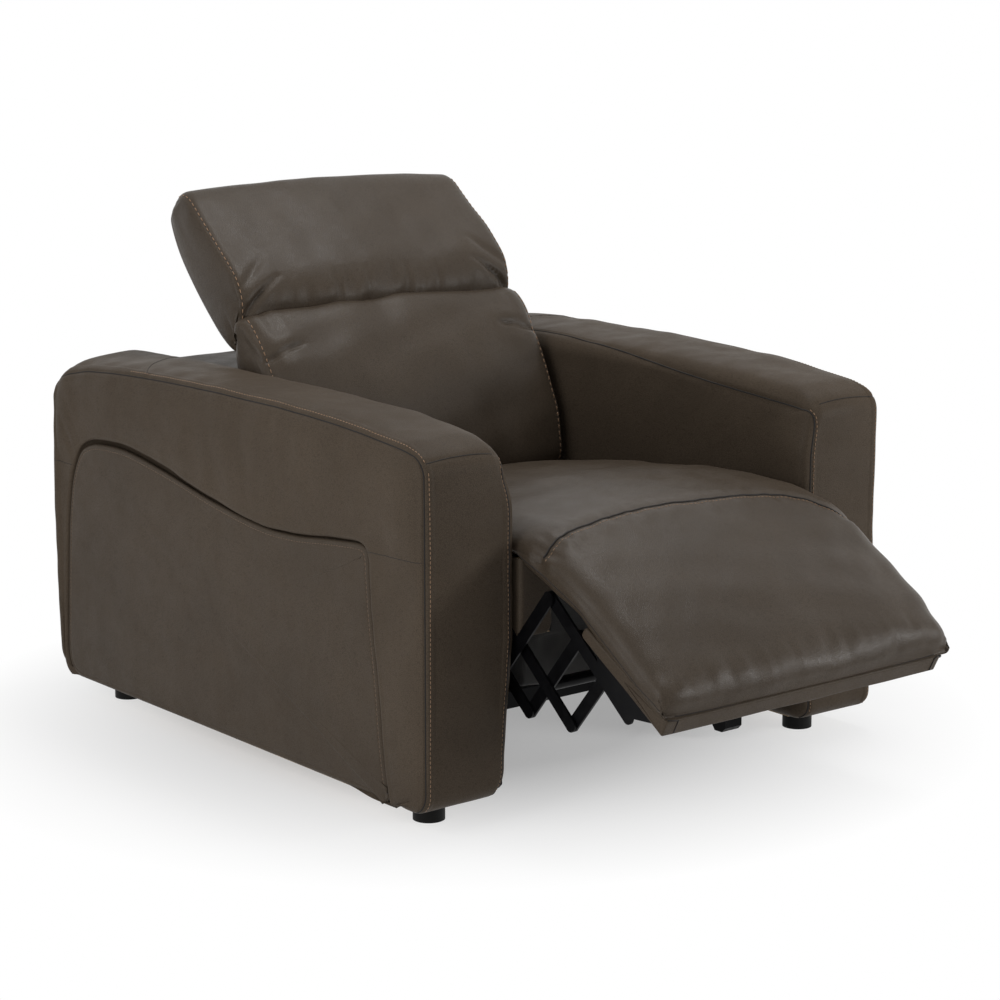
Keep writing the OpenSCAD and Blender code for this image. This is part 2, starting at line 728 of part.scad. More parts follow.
module back_frame() {
    inner = back_rear_y - back_skin;
    top = shelf_h - back_skin;
    w0 = lean_low[1] + back_window;
    w1 = top - back_window;
    x1 = back_half - back_skin - back_side + over;
    side_outline = rounded([[lean_low[0], lean_low[1], 0], [inner, lean_low[1], 0],
        [inner, top, back_corner - back_skin], [lean_y(top), top, 0]]);
    color("#c8a878") difference() {
        union() {
            for (s = [-1, 1]) side(s) slab(x1 - over, back_half - back_skin) difference() {
                polygon(side_outline);
                polygon([[lean_y(w0) + back_window, w0], [inner - back_window, w0],
                    [inner - back_window, w1], [lean_y(w1) + back_window, w1]]);
            }
            slab(-x1, x1) for (e = [[lean_low[1], back_rail_set], [top - back_rail, 0]]) {
                z0 = e[0];
                z1 = z0 + back_rail;
                translate([e[1], 0]) polygon([[lean_y(z0), z0], [lean_y(z0) + back_rail * 2, z0],
                    [lean_y(z1) + back_rail * 2, z1], [lean_y(z1), z1]]);
            }
        }
        for (s = [-1, 1]) side(s)
            block([stay_x - stay_w / 2, stay_front - back_rail, top - back_rail - over],
                [stay_x + stay_w / 2, stay_front + stay_t, top + over]);
    }
}
module back_cover() {
    color("#4a443d") difference() {
        slab(-back_half, back_half) polygon(rounded([[shelf_front, shelf_h, 0],
            [back_rear_y, shelf_h, back_corner], [back_rear_y, back_low, 0],
            [lean_low[0] + back_corner, back_low, back_corner], [lean_low[0], lean_low[1], 0],
            [lean_y(shelf_h - back_corner), shelf_h - back_corner, 0]]));
        slab(-back_half + back_skin, back_half - back_skin) polygon(rounded([
            [shelf_front - back_corner * 2, shelf_h - back_skin, 0],
            [back_rear_y - back_skin, shelf_h - back_skin, back_corner - back_skin],
            [back_rear_y - back_skin, back_low - over, 0], [0, back_low - over, 0]]));
    }
}
module back_bracket(s) {
    x1 = back_half - back_skin - back_side;
    grip = [lean_y(back_bracket_top) + recline_eye, back_bracket_top];
    color("#1a1a1b") side(s) difference() {
        slab(x1 - bar_t, x1) {
            strap(recline, grip, recline_eye);
        }
        round_x(x1 - bar_t - over, x1 + over, recline, recline_r + pivot_gap);
    }
}
module headrest_stays() {
    top = shelf_h - back_skin;
    color("#2a2b2c") for (s = [-1, 1]) side(s) difference() {
        slab(stay_x - stay_w / 2, stay_x + stay_w / 2) {
            polygon([[stay_front, top - back_rail], [stay_front + stay_t, top - back_rail],
                [stay_front + stay_t, head_pivot[1]], [stay_front, head_pivot[1]]]);
            translate(head_pivot) circle(barrel_r);
        }
        round_x(stay_x - stay_w, stay_x + stay_w, head_pivot, head_pin_r + pivot_gap);
    }
}
head_dir = [cos(head_angle), sin(head_angle)];
head_normal = [-sin(head_angle), cos(head_angle)];
function head_point(s, t) = head_pivot + head_dir * s + head_normal * t;
module headrest_board() {
    a = head_start + bar_t;
    b = head_len - head_rear;
    t0 = -head_rear;
    t1 = t0 + head_board_t;
    color("#c8a878") slab(-head_half + head_rear, head_half - head_rear)
        polygon([head_point(a, t0), head_point(b, t0), head_point(b, t1), head_point(a, t1)]);
}
head_edge = 16;
head_crown = 8;
// Headrest cushion outline: shares of its length and thickness
head_shares = [[0, 0.06], [-0.02, 0.5], [0.02, 0.9], [0.2, 1], [0.55, 0.98], [0.86, 0.93], [0.97, 0.88],
    [1, 0.6], [1, 0.35], [0.93, 0.12], [0.82, 0.03], [0.4, 0.005], [0.1, 0.005]];
module headrest_cushion() {
    base = -head_rear + head_board_t + clear;
    t = head_t - head_board_t - clear;
    length = head_len - head_start - bar_t;
    outline = closed_curve([for (s = head_shares)
        head_point(head_start + bar_t + s[0] * length, base + s[1] * t)], form_steps);
    mid = head_point(head_start + length / 2, base + t / 2);
    color("#5a5047") soft_form(outline, head_half, mid, head_normal, t / 2, head_edge, head_crown);
}
module headrest_hinges() {
    t0 = -head_rear;
    t1 = t0 + head_board_t;
    foot = [head_start + bar_t, (t0 + t1) / 2];
    ear_in = stay_x - stay_w / 2 - ear_gap - ear_t;
    ear_out = stay_x + stay_w / 2 + ear_gap;
    color("#2a2b2c") for (s = [-1, 1]) side(s) {
        for (x = [ear_in, ear_out]) slab(x, x + ear_t)
            strap(head_pivot, head_point(foot[0] - barrel_r, foot[1] + over), barrel_r - over);
        slab(ear_in, ear_out + ear_t) polygon([head_point(foot[0] - ear_t, t0), head_point(foot[0], t0),
            head_point(foot[0], t1), head_point(foot[0] - ear_t, t1)]);
        round_x(ear_in, ear_out + ear_t, head_pivot, head_pin_r);
    }
}

arm_cover(1);  // arm_cover_left
arm_cover(-1);  // arm_cover_right
arm_frame(1);  // arm_frame_left
arm_frame(-1);  // arm_frame_right
arm_side_panel(1);  // arm_side_panel_left
arm_side_panel(-1);  // arm_side_panel_right
arm_base_board(1);  // arm_base_board_left
arm_base_board(-1);  // arm_base_board_right
foot(1, -1);  // foot_front_left
foot(-1, -1);  // foot_front_right
foot(1, 1);  // foot_rear_left
foot(-1, 1);  // foot_rear_right
base_rail(1);  // base_rail_left
base_rail(-1);  // base_rail_right
cross_member(cross_front_y);  // cross_member_front
cross_member(cross_rear_y);  // cross_member_rear
slide_rail(1);  // slide_rail_left
slide_rail(-1);  // slide_rail_right
drive_motor();
drive_spindle();
rear_panel();
power_inlet();
control_plate();
button(-1);  // button_open
button(1);  // button_close
seat_frame();
seat_webbing();
seat_cushion();
seat_front_panel();
seat_facing(1);  // seat_facing_left
seat_facing(-1);  // seat_facing_right
side_plate(1);  // side_plate_left
side_plate(-1);  // side_plate_right
runner(1);  // runner_left
runner(-1);  // runner_right
drive_nut();
footrest_board();
footrest_pad();
footrest_bar(1);  // footrest_bar_left
footrest_bar(-1);  // footrest_bar_right
drive_link(1);  // drive_link_left
drive_link(-1);  // drive_link_right
cross_tube();
rear_link(1);  // rear_link_left
rear_link(-1);  // rear_link_right
mid_link(1);  // mid_link_left
mid_link(-1);  // mid_link_right
front_link(1);  // front_link_left
front_link(-1);  // front_link_right
back_frame();
back_cushion();
back_cover();
back_bracket(1);  // back_bracket_left
back_bracket(-1);  // back_bracket_right
headrest_stays();
headrest_board();
headrest_cushion();
headrest_hinges();
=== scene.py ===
"""Looks of a power recliner in dark leather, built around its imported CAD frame.

Lengths are millimetres in the frame's own axes and become metres where a mesh is made: X runs to
the sitter's left, Y to the back and Z up. An upholstered piece is a skin, which is rings of points
with the same number of steps, so a seam is a line of places on it, each a ring and a step number.
"""

import json
import math

import bmesh
import bpy
import numpy as np
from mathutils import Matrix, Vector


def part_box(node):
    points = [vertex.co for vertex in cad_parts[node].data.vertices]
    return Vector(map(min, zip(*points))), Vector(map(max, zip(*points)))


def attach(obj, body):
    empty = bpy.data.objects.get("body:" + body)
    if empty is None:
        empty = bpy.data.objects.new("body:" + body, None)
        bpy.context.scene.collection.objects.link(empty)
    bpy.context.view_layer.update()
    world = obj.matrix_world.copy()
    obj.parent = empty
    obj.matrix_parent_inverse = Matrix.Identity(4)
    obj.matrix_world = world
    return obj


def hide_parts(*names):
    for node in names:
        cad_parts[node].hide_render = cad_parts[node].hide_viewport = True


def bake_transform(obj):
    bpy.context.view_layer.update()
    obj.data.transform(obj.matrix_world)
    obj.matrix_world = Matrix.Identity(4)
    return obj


MM = 0.001
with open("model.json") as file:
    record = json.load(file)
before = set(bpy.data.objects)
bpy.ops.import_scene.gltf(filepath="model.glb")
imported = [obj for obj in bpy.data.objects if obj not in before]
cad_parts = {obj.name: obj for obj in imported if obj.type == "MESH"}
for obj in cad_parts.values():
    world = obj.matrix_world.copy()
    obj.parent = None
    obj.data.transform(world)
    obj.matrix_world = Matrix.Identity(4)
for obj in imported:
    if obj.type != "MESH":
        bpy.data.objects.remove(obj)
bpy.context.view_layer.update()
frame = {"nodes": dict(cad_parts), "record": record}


def span(node):
    """Lowest and highest corner of a CAD node, in millimetres."""
    low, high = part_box(node)
    return np.array(low) / MM, np.array(high) / MM


# Driving sizes, from the frame
ARM_LOW, ARM_HIGH = span("arm_cover_left")
ARM_FRONT, ARM_REAR = ARM_LOW[1], ARM_HIGH[1]
ARM_MID = (ARM_LOW[0] + ARM_HIGH[0]) / 2
ARM_HALF = (ARM_HIGH[0] - ARM_LOW[0]) / 2
ARM_RISE = 32
ARM_FLAT_TOP = ARM_HIGH[2] - ARM_RISE
COVER_LOW, COVER_HIGH = span("back_cover")
SEAT_FRAME_LOW = span("seat_frame")[0]
BOARD_HALF = span("footrest_board")[1][0] + 1

# Sewing
STITCH_PITCH = 7.4
STITCH_LENGTH = 5.2
STITCH_RADIUS = 0.62
STITCH_SHAPE = ((-0.5, 0.35), (-0.25, 1.0), (0.25, 1.0), (0.5, 0.35))
SEAM_RADIUS = 1.4

# Colours, as linear values
TAUPE = (0.074, 0.056, 0.040)
THREAD = (0.28, 0.165, 0.09)


# Curves and small sums

def smooth_step(x, low, high):
    """0 below low, 1 above high, and a smooth turn between them."""
    t = np.clip((np.asarray(x, float) - low) / (high - low), 0, 1)
    return t * t * (3 - 2 * t)


def between(x, low, full, fade, high):
    """1 from full to fade, 0 below low and above high, and smooth turns between them."""
    return smooth_step(x, low, full) * (1 - smooth_step(x, fade, high))


def bell(x, middle, width):
    return np.exp(-((np.asarray(x, float) - middle) / width) ** 2)


def unit(vectors):
    return vectors / np.maximum(np.linalg.norm(vectors, axis=-1, keepdims=True), 1e-9)


def waves(points, length, seed, count=9):
    """Smooth seeded noise of about unit size, with waves of about this length."""
    random = np.random.default_rng(seed)
    total = np.zeros(points.shape[:-1])
    for _ in range(count):
        direction = random.normal(size=3)
        direction *= 2 * math.pi / length / np.linalg.norm(direction) / random.uniform(0.7, 1.5)
        total += np.sin(points @ direction + random.uniform(0, 2 * math.pi))
    return total / math.sqrt(count / 2)


def furrow(first, second, start, end, width, depth, least=0.3):
    """A soft furrow between two places, for points given by two of their coordinates.

    Its depth at its ends is the least share of its depth in the middle."""
    start = np.asarray(start, float)
    along = np.asarray(end, float) - start
    rel = np.stack([first, second], -1) - start
    t = np.clip((rel @ along) / (along @ along), 0, 1)
    gap = np.linalg.norm(rel - t[..., None] * along, axis=-1)
    share = least + (1 - least) * np.sin(math.pi * np.clip(t, 0.02, 0.98))
    return -depth * bell(gap, 0, width) * share


def run_along(points):
    """Distance of each point of a line from its start, along the line."""
    return np.concatenate([[0], np.cumsum(np.linalg.norm(np.diff(points, axis=0), axis=1))])


def even(rows, run, count):
    """Rows of numbers at an even spacing of their run."""
    at = np.linspace(0, run[-1], count)
    return np.stack([np.interp(at, run, column) for column in rows.T], -1)


def spread(points, count):
    """Points spaced evenly along a line of points, both ends included."""
    points = np.asarray(points, float)
    return even(points, run_along(points), count)


def curve_through(points, count):
    """Points spaced evenly along a smooth curve through these points."""
    p = np.asarray(points, float)
    p = np.concatenate([[2 * p[0] - p[1]], p, [2 * p[-1] - p[-2]]])
    t = np.linspace(0, 1, 16, endpoint=False)[:, None]
    fine = [0.5 * (2 * b + (c - a) * t + (2 * a - 5 * b + 4 * c - d) * t**2
                   + (3 * b - a - 3 * c + d) * t**3)
            for a, b, c, d in zip(p[:-3], p[1:-2], p[2:-1], p[3:])]
    return spread(np.concatenate(fine + [p[-2:-1]]), count)


def line(start, end, count):
    """Points from start towards end, which is left to the next piece of the outline."""
    t = np.linspace(0, 1, count, endpoint=False)[:, None]
    return np.asarray(start, float) * (1 - t) + np.asarray(end, float) * t


def arc(centre, radius, first, last, count):
    """Points round an arc between two angles in degrees, without the last one."""
    angle = np.radians(np.linspace(first, last, count, endpoint=False))
    return np.asarray(centre, float) + radius * np.stack([np.cos(angle), np.sin(angle)], -1)


def outward(outline):
    """Outward normals of a closed outline in y and z, walked forward along its bottom."""
    ahead = unit(np.roll(outline, -1, 0) - np.roll(outline, 1, 0))
    return np.stack([-ahead[:, 1], ahead[:, 0]], -1)


def at_x(x, outline):
    """Points of an outline in y and z, put at x."""
    x = np.broadcast_to(np.asarray(x, float), outline.shape[:1])
    return np.concatenate([x[:, None], outline], 1)


def nearest(points, place):
    """Number of the point on a line nearest to a place."""
    return int(np.argmin(np.linalg.norm(np.asarray(points) - np.asarray(place, float), axis=1)))


class Slope:
    """Axes of a sloping part: along it from a hinge in y and z, and out from its face."""

    def __init__(self, hinge, degrees, side):
        angle = math.radians(degrees)
        self.hinge = np.array(hinge, float)
        self.along = np.array([math.cos(angle), math.sin(angle)])
        self.out = side * np.array([-math.sin(angle), math.cos(angle)])

    def place(self, points):
        """(y, z) of points given along the part and out from it."""
        points = np.asarray(points, float)
        return self.hinge + points[..., :1] * self.along + points[..., 1:] * self.out

    def measure(self, points):
        """Distances along the part and out from it, of points in x, y and z."""
        rel = points[..., 1:] - self.hinge
        return rel @ self.along, rel @ self.out


FOOTREST = Slope((-633, 379), 180 + 34.8, -1)
HEADREST = Slope((245, 690), 43, 1)
footrest, headrest = FOOTREST.place, HEADREST.place


# Materials

def add_node(tree, kind, inputs=None, **settings):
    """A new node, with settings, and inputs that are numbers or other nodes' outputs."""
    node = tree.nodes.new(kind)
    for name, value in settings.items():
        setattr(node, name, value)
    for name, value in (inputs or {}).items():
        if isinstance(value, bpy.types.NodeSocket):
            tree.links.new(value, node.inputs[name])
        else:
            node.inputs[name].default_value = value
    return node


class Look:
    """A material with one Principled shader, and short ways to add nodes to it."""

    def __init__(self, name, colour, roughness, **numbers):
        self.material = bpy.data.materials.new(name)
        self.material.use_nodes = True
        self.material.diffuse_color = (*colour, 1)
        self.tree = self.material.node_tree
        self.shader = self.tree.nodes["Principled BSDF"]
        self.shader.inputs["Base Color"].default_value = (*colour, 1)
        self.shader.inputs["Roughness"].default_value = roughness
        for socket, number in numbers.items():
            self.shader.inputs[socket.replace("_", " ")].default_value = number
        self.place = self.add("ShaderNodeTexCoord").outputs["Object"]
        self.normal = None

    def add(self, kind, inputs=None, **settings):
        return add_node(self.tree, kind, inputs, **settings)

    def noise(self, scale, detail=2.0, place=None):
        inputs = {"Vector": place or self.place, "Scale": scale, "Detail": detail}
        return self.add("ShaderNodeTexNoise", inputs).outputs["Fac"]

    def cells(self, scale):
        """Distance from the edges of uneven cells, which is the grain of leather."""
        noise = self.add("ShaderNodeTexNoise", {"Vector": self.place, "Scale": scale * 0.6, "Detail": 1.0})
        shift = self.add("ShaderNodeVectorMath", {0: noise.outputs["Color"], "Scale": 0.5 / scale},
                         operation="SCALE").outputs[0]
        soft = self.add("ShaderNodeVectorMath", {0: self.place, 1: shift}, operation="ADD")
        return self.add("ShaderNodeTexVoronoi", {"Vector": soft.outputs[0], "Scale": scale},
                        feature="DISTANCE_TO_EDGE").outputs["Distance"]

    def ramp(self, value, low, high, out_low=0.0, out_high=1.0):
        return self.add("ShaderNodeMapRange", {"Value": value, "From Min": low, "From Max": high,
                                               "To Min": out_low, "To Max": out_high}).outputs["Result"]

    def blend(self, factor, first, second):
        """A colour between two colours, given as three numbers or another node's output."""
        first, second = (c if isinstance(c, bpy.types.NodeSocket) else (*c, 1) for c in (first, second))
        return self.add("ShaderNodeMix", {0: factor, 6: first, 7: second}, data_type="RGBA").outputs[2]

    def colour(self, output):
        self.tree.links.new(output, self.shader.inputs["Base Color"])

    def roughness(self, output):
        self.tree.links.new(output, self.shader.inputs["Roughness"])

    def bump(self, height, strength, depth):
        """Adds a relief, depth millimetres deep, on top of those already there."""
        inputs = {"Height": height, "Strength": strength, "Distance": depth * MM}
        if self.normal:
            inputs["Normal"] = self.normal
        self.normal = self.add("ShaderNodeBump", inputs).outputs["Normal"]
        self.tree.links.new(self.normal, self.shader.inputs["Normal"])


def shade(colour, factor):
    return tuple(c * factor for c in colour)


def leather(name, colour, gloss, grain, level):
    """Grained upholstery leather: pebbled cells, pores, soft mottling and a slight wax gloss."""
    rough = 1 - gloss
    look = Look(name, colour, rough, Specular_IOR_Level=level)
    mottle = look.ramp(look.noise(7, 3), 0.32, 0.68)
    hide = look.blend(mottle, shade(colour, 0.90), shade(colour, 1.09))
    fine = look.ramp(look.noise(170, 2), 0.3, 0.7)
    hide = look.blend(look.ramp(fine, 0, 1, 0, 0.3), hide, shade(colour, 0.78))
    cells = look.cells(grain)
    look.colour(look.blend(look.ramp(cells, 0.0, 0.16, 0.7, 0.0), hide, shade(colour, 0.55)))
    look.roughness(look.ramp(look.noise(26, 3), 0.3, 0.7, rough - 0.05, rough + 0.06))
    look.bump(look.noise(34, 3), 0.35, 1.6)
    look.bump(look.ramp(cells, 0.0, 0.2), 0.5, 0.26)
    look.bump(look.noise(grain * 4, 1), 0.16, 0.12)
    return look.material


def cloth(name, colour, pitch):
    """Plain woven cloth with threads pitch millimetres apart."""
    look = Look(name, colour, 0.92, Sheen_Weight=0.15, Sheen_Roughness=0.5)
    wave = {"Vector": look.place, "Scale": 0.5 / (pitch * MM * math.pi), "Distortion": 0.6, "Detail": 1.0}
    x, y, z = (look.add("ShaderNodeTexWave", wave, bands_direction=axis).outputs["Fac"] for axis in "XYZ")
    both = look.add("ShaderNodeMath", {0: x, 1: z}, operation="MULTIPLY").outputs[0]
    every = look.add("ShaderNodeMath", {0: both, 1: y}, operation="MAXIMUM").outputs[0]
    look.colour(look.blend(every, shade(colour, 0.6), shade(colour, 1.35)))
    look.bump(every, 0.5, 0.3)
    return look.material


def metal(name, colour, roughness, metallic):
    """Plated or painted steel with faint orange peel and handling marks."""
    look = Look(name, colour, roughness, Metallic=metallic, Specular_IOR_Level=0.5 if metallic else 0.08)
    look.roughness(look.ramp(look.noise(60, 4), 0.35, 0.7, roughness - 0.07, roughness + 0.12))
    look.colour(look.blend(look.ramp(look.noise(38, 3), 0.4, 0.75), colour, shade(colour, 0.72)))
    look.bump(look.noise(900, 2), 0.12, 0.08)
    return look.material


def plastic(name, colour, roughness, grain, level=0.5):
    """Moulded plastic with a fine spark-eroded texture."""
    look = Look(name, colour, roughness, Specular_IOR_Level=level)
    look.roughness(look.ramp(look.noise(45, 3), 0.35, 0.7, roughness - 0.05, roughness + 0.08))
    look.colour(look.blend(look.noise(20, 2), shade(colour, 0.9), shade(colour, 1.1)))
    look.bump(look.noise(grain, 2), 0.2, 0.12)
    return look.material


def plywood(name, colour):
    """Plain plywood with long grain."""
    look = Look(name, colour, 0.7)
    stretched = look.add("ShaderNodeMapping", {"Vector": look.place, "Scale": (6.0, 60.0, 60.0)}).outputs[0]
    grain = look.ramp(look.noise(3.0, 4, stretched), 0.35, 0.65)
    look.colour(look.blend(grain, shade(colour, 0.72), shade(colour, 1.1)))
    look.bump(grain, 0.15, 0.3)
    return look.material


def yarn(name, colour):
    """Twisted sewing thread."""
    look = Look(name, colour, 0.75, Sheen_Weight=0.2)
    look.colour(look.blend(look.noise(260, 2), shade(colour, 0.6), shade(colour, 1.3)))
    look.bump(look.noise(1500, 1), 0.3, 0.2)
    return look.material


def painted_seam_shade(name, colour):
    """Painted shade: the near-black material of the tubes that stand in for the shadow inside a seam."""
    look = Look(name, colour, 0.9)
    look.bump(look.noise(500, 2), 0.3, 0.2)
    return look.material


LOOKS = {
    "leather": leather("arm_leather", shade(TAUPE, 1.04), 0.50, 340, 0.07),
    "leather_panel": leather("panel_leather", shade(TAUPE, 0.94), 0.52, 340, 0.10),
    "leather_cushion": leather("cushion_leather", shade(TAUPE, 0.90), 0.63, 340, 0.15),
    "black_cloth": cloth("dust_cloth", (0.014, 0.013, 0.012), 1.6),
    "wood": plywood("plywood", (0.48, 0.34, 0.20)),
    "webbing": cloth("elastic_webbing", (0.022, 0.021, 0.019), 2.4),
    "foot_black": plastic("foot_plastic", (0.006, 0.006, 0.006), 0.55, 600, 0.12),
    "black_steel": metal("black_powder_coat", (0.003, 0.003, 0.0035), 0.36, 0.0),
    "zinc_steel": metal("zinc_plate", (0.45, 0.46, 0.47), 0.34, 1.0),
    "black_plastic": plastic("black_plastic", (0.015, 0.015, 0.016), 0.5, 700),
    "white_plastic": plastic("natural_nylon", (0.6, 0.6, 0.57), 0.45, 500),
    "button_silver": plastic("silver_button", (0.45, 0.46, 0.47), 0.3, 800),
}
THREAD_LOOK = yarn("sewing_thread", THREAD)
DARK_THREAD_LOOK = yarn("dark_thread", shade(THREAD, 0.45))
# Painted shade: seams get dark tubes in this material where the real seam only holds shadow
SEAM_SHADE_LOOK = painted_seam_shade("seam_shadow", (0.010, 0.008, 0.007))


# Meshes

def new_object(name, points, faces, look):
    mesh = bpy.data.meshes.new(name)
    mesh.from_pydata((np.asarray(points) * MM).tolist(), [], faces)
    mesh.materials.append(look)
    mesh.shade_smooth()
    made = bpy.data.objects.new(name, mesh)
    bpy.context.collection.objects.link(made)
    return made


def weld(made, gap):
    """Joins points closer than gap millimetres, so that a collapsed ring closes."""
    mesh = bmesh.new()
    mesh.from_mesh(made.data)
    bmesh.ops.remove_doubles(mesh, verts=mesh.verts, dist=gap * MM)
    bmesh.ops.dissolve_degenerate(mesh, edges=mesh.edges, dist=0.2 * gap * MM)
    mesh.to_mesh(made.data)
    mesh.free()
    made.data.shade_smooth()


class Skin:
    """A surface of rings of points. A place on it is a ring and a step number, also between points."""

    def __init__(self, rings):
        self.grid = np.stack(rings)
        self.side = -1 if self.volume() < 0 else 1

    def volume(self):
        """Six times the volume that the rings enclose, below zero if they run the other way."""
        centre = self.grid.mean((0, 1))
        a, b = self.grid[:-1] - centre, self.grid[1:] - centre
        c, d = np.roll(b, -1, 1), np.roll(a, -1, 1)
        return np.sum(a * np.cross(b, c)) + np.sum(a * np.cross(c, d))

    def at(self, places):
        """Points at places, which are rows of a ring and a step number."""
        places = np.asarray(places, float)
        rings, steps = self.grid.shape[:2]
        ring = np.clip(places[..., 0], 0, rings - 1.001)
        j, i = ring.astype(int), np.floor(places[..., 1]).astype(int)
        s, t = (ring - j)[..., None], (places[..., 1] - i)[..., None]
        i, k = i % steps, (i + 1) % steps
        near = self.grid[j, i] * (1 - t) + self.grid[j, k] * t
        far = self.grid[j + 1, i] * (1 - t) + self.grid[j + 1, k] * t
        return near * (1 - s) + far * s

    def normals(self, places):
        places = np.asarray(places, float)
        across = self.at(places + (0.5, 0)) - self.at(places - (0.5, 0))
        along = self.at(places + (0, 0.5)) - self.at(places - (0, 0.5))
        return unit(np.cross(across, along) * self.side)

    def swell(self, heights):
        """Moves each point out along its normal by its height."""
        rings, steps = self.grid.shape[:2]
        places = np.meshgrid(np.arange(rings, dtype=float), np.arange(steps, dtype=float), indexing="ij")
        self.grid = self.grid + self.normals(np.stack(places, -1)) * np.asarray(heights)[..., None]

    def build(self, name, slot, body, *replaced, ends="fan"):
        """The mesh of this skin. Its ends close in a fan, or by welding rings that meet on a line."""
        rings, steps = self.grid.shape[:2]
        number = np.arange(rings * steps).reshape(rings, steps)
        quads = [number[:-1], number[1:], np.roll(number[1:], -1, 1), np.roll(number[:-1], -1, 1)]
        faces = np.stack(quads, -1).reshape(-1, 4)[:, ::self.side].tolist()
        points = self.grid.reshape(-1, 3)
        if ends == "fan":
            for ring, turn in ((0, self.side), (rings - 1, -self.side)):
                centre = len(points)
                points = np.concatenate([points, self.grid[ring].mean(0)[None]])
                round_it = zip(number[ring], np.roll(number[ring], -1))
                faces += [[int(a), int(b), centre][::turn] for a, b in round_it]
        made = new_object(name, points, faces, LOOKS[slot])
        if ends == "weld":
            weld(made, 0.1)
        if body:
            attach(made, body)
        if replaced:
            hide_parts(*replaced)
        return made


class Pile:
    """Many small shapes gathered into one mesh."""

    def __init__(self):
        self.points, self.faces, self.count = [], [], 0

    def add(self, points, faces):
        self.points.append(np.asarray(points))
        self.faces += [[i + self.count for i in face] for face in faces]
        self.count += len(points)

    def build(self, name, look, body):
        made = new_object(name, np.concatenate(self.points), self.faces, look)
        if body:
            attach(made, body)
        return made


def tube(path, radius, sides=5):
    """Points and faces of a round tube along a path, with closed ends."""
    path = np.asarray(path, float)
    ahead = unit(np.gradient(path, axis=0))
    up = np.tile([0.0, 0.0, 1.0], (len(path), 1))
    up[np.abs(ahead[:, 2]) > 0.9] = (1.0, 0.0, 0.0)
    first = unit(np.cross(ahead, up))
    for k in range(1, len(path)):
        first[k] = unit(first[k - 1] - ahead[k] * (first[k - 1] @ ahead[k]))
    second = np.cross(ahead, first)
    radius = np.broadcast_to(np.asarray(radius, float), (len(path),))
    angle = (np.arange(sides) * 2 * math.pi / sides)[:, None]
    rings = path[:, None] + radius[:, None, None] * (first[:, None] * np.cos(angle)
                                                     + second[:, None] * np.sin(angle))
    last = (len(path) - 1) * sides
    faces = [[a + i, a + (i + 1) % sides, a + sides + (i + 1) % sides, a + sides + i]
             for a in range(0, last, sides) for i in range(sides)]
    faces += [list(range(sides))[::-1], list(range(last, last + sides))]
    return rings.reshape(-1, 3), faces


def resample(skin, places, pitch):
    """The same line of places, spaced pitch millimetres apart on the skin."""
    places = np.asarray(places, float)
    run = run_along(skin.at(places))
    return even(places, run, max(int(run[-1] / pitch), 2))


def sew(pile, skin, places, bold=1.0, lift=0.15):
    """A row of stitches along a line of places, bold times as large as the usual ones."""
    places = resample(skin, places, STITCH_PITCH * bold)
    points = skin.at(places)
    for p, n, a in zip(points, skin.normals(places), unit(np.gradient(points, axis=0))):
        rail = [p + a * STITCH_LENGTH * bold * t + n * (lift - 0.25 * (1 - r)) for t, r in STITCH_SHAPE]
        pile.add(*tube(rail, [STITCH_RADIUS * bold * r for _, r in STITCH_SHAPE]))


def seam(pile, skin, places, radius=SEAM_RADIUS, lift=0.0, pitch=5.0):
    """A dark sunk tube along a line of places, where two pieces of leather meet, which paints the shadow
    inside the seam.
    """
    places = resample(skin, places, pitch)
    pile.add(*tube(skin.at(places) + skin.normals(places) * lift, radius))


def ring_line(ring, first, last, count=200):
    return np.stack([np.full(count, float(ring)), np.linspace(first, last, count)], -1)


# Arms

# Radii of an arm's corners seen from the side, and of the edges of its two faces
FRONT_TOP, REAR_TOP, FRONT_LOW, REAR_LOW = 30, 40, 36, 50
OUTER_EDGE, INNER_EDGE = 12, 20

# Steps in each piece of an arm's outline, the first step of each, and the rings across its top
ARM_STEPS = {"bottom": 120, "front_low": 14, "front": 84, "front_top": 14, "top": 190, "rear_top": 18,
             "rear": 76, "rear_low": 16}
STEP = dict(zip([*ARM_STEPS, "end"], np.cumsum([0, *ARM_STEPS.values()]).tolist()))
FLATS = [-60, -57, -54, -50, -42, -30, -15, 0, 15, 30, 42, 52, 58, 61, 63.5, 66, 68, 69.5]

# The lower side panel's edge in y and z: up the front, along the swoop, round and down the rear
PANEL_BOTTOM = 40.5
SWOOP_FRONT = [(-464, PANEL_BOTTOM + 2), (-457, 62), (-445, 128), (-434, 229), (-419, 335), (-413, 400)]
SWOOP_CORNER = [(-413, 400), (-411, 428), (-403, 443), (-388, 448), (-368, 448)]
SWOOP_TOP = [(-368, 448), (-292, 441), (-200, 431), (-102, 431), (31, 449), (169, 475), (304, 493),
             (380, 494)]
SWOOP_REAR_CORNER = [(380, 494), (424, 489), (464, 472), (489, 436), (503, 400)]
SWOOP_REAR = [(503, 400), (514, 340), (522, 260), (530, 150), (533, 90)]
SWOOP_REAR_LOW = [(533, 90), (528, 66), (512, 48), (488, PANEL_BOTTOM)]

# The cover's lip over the panel's edge, as distances out from that edge and down from the face, and the
# panel's roll, as distances in from it and down to PANEL_DEPTH
PANEL_DEPTH = 14
LIP = ((11, 0), (7.5, -0.3), (5, -0.2), (3.2, 0.3), (1.8, 1.4), (0.8, 3.2), (0.2, 6), (0, PANEL_DEPTH))
PANEL_ROLL = ((12, PANEL_DEPTH - 1), (4, PANEL_DEPTH - 2), (2.4, 12), (1.5, 9), (1.2, 6.5), (1.6, 4.2),
              (2.8, 2.2), (4.6, 0.9), (6.6, 0.25), (8.2, 0.15), (9.4, 0.6), (10.2, 0.9), (11.2, 0.5),
              (13, -0.1), (17, -0.2), (23, -0.3))
# Rings of the panel where its stitches run and where its face begins
PANEL_STITCHES, PANEL_FACE = 11, 14

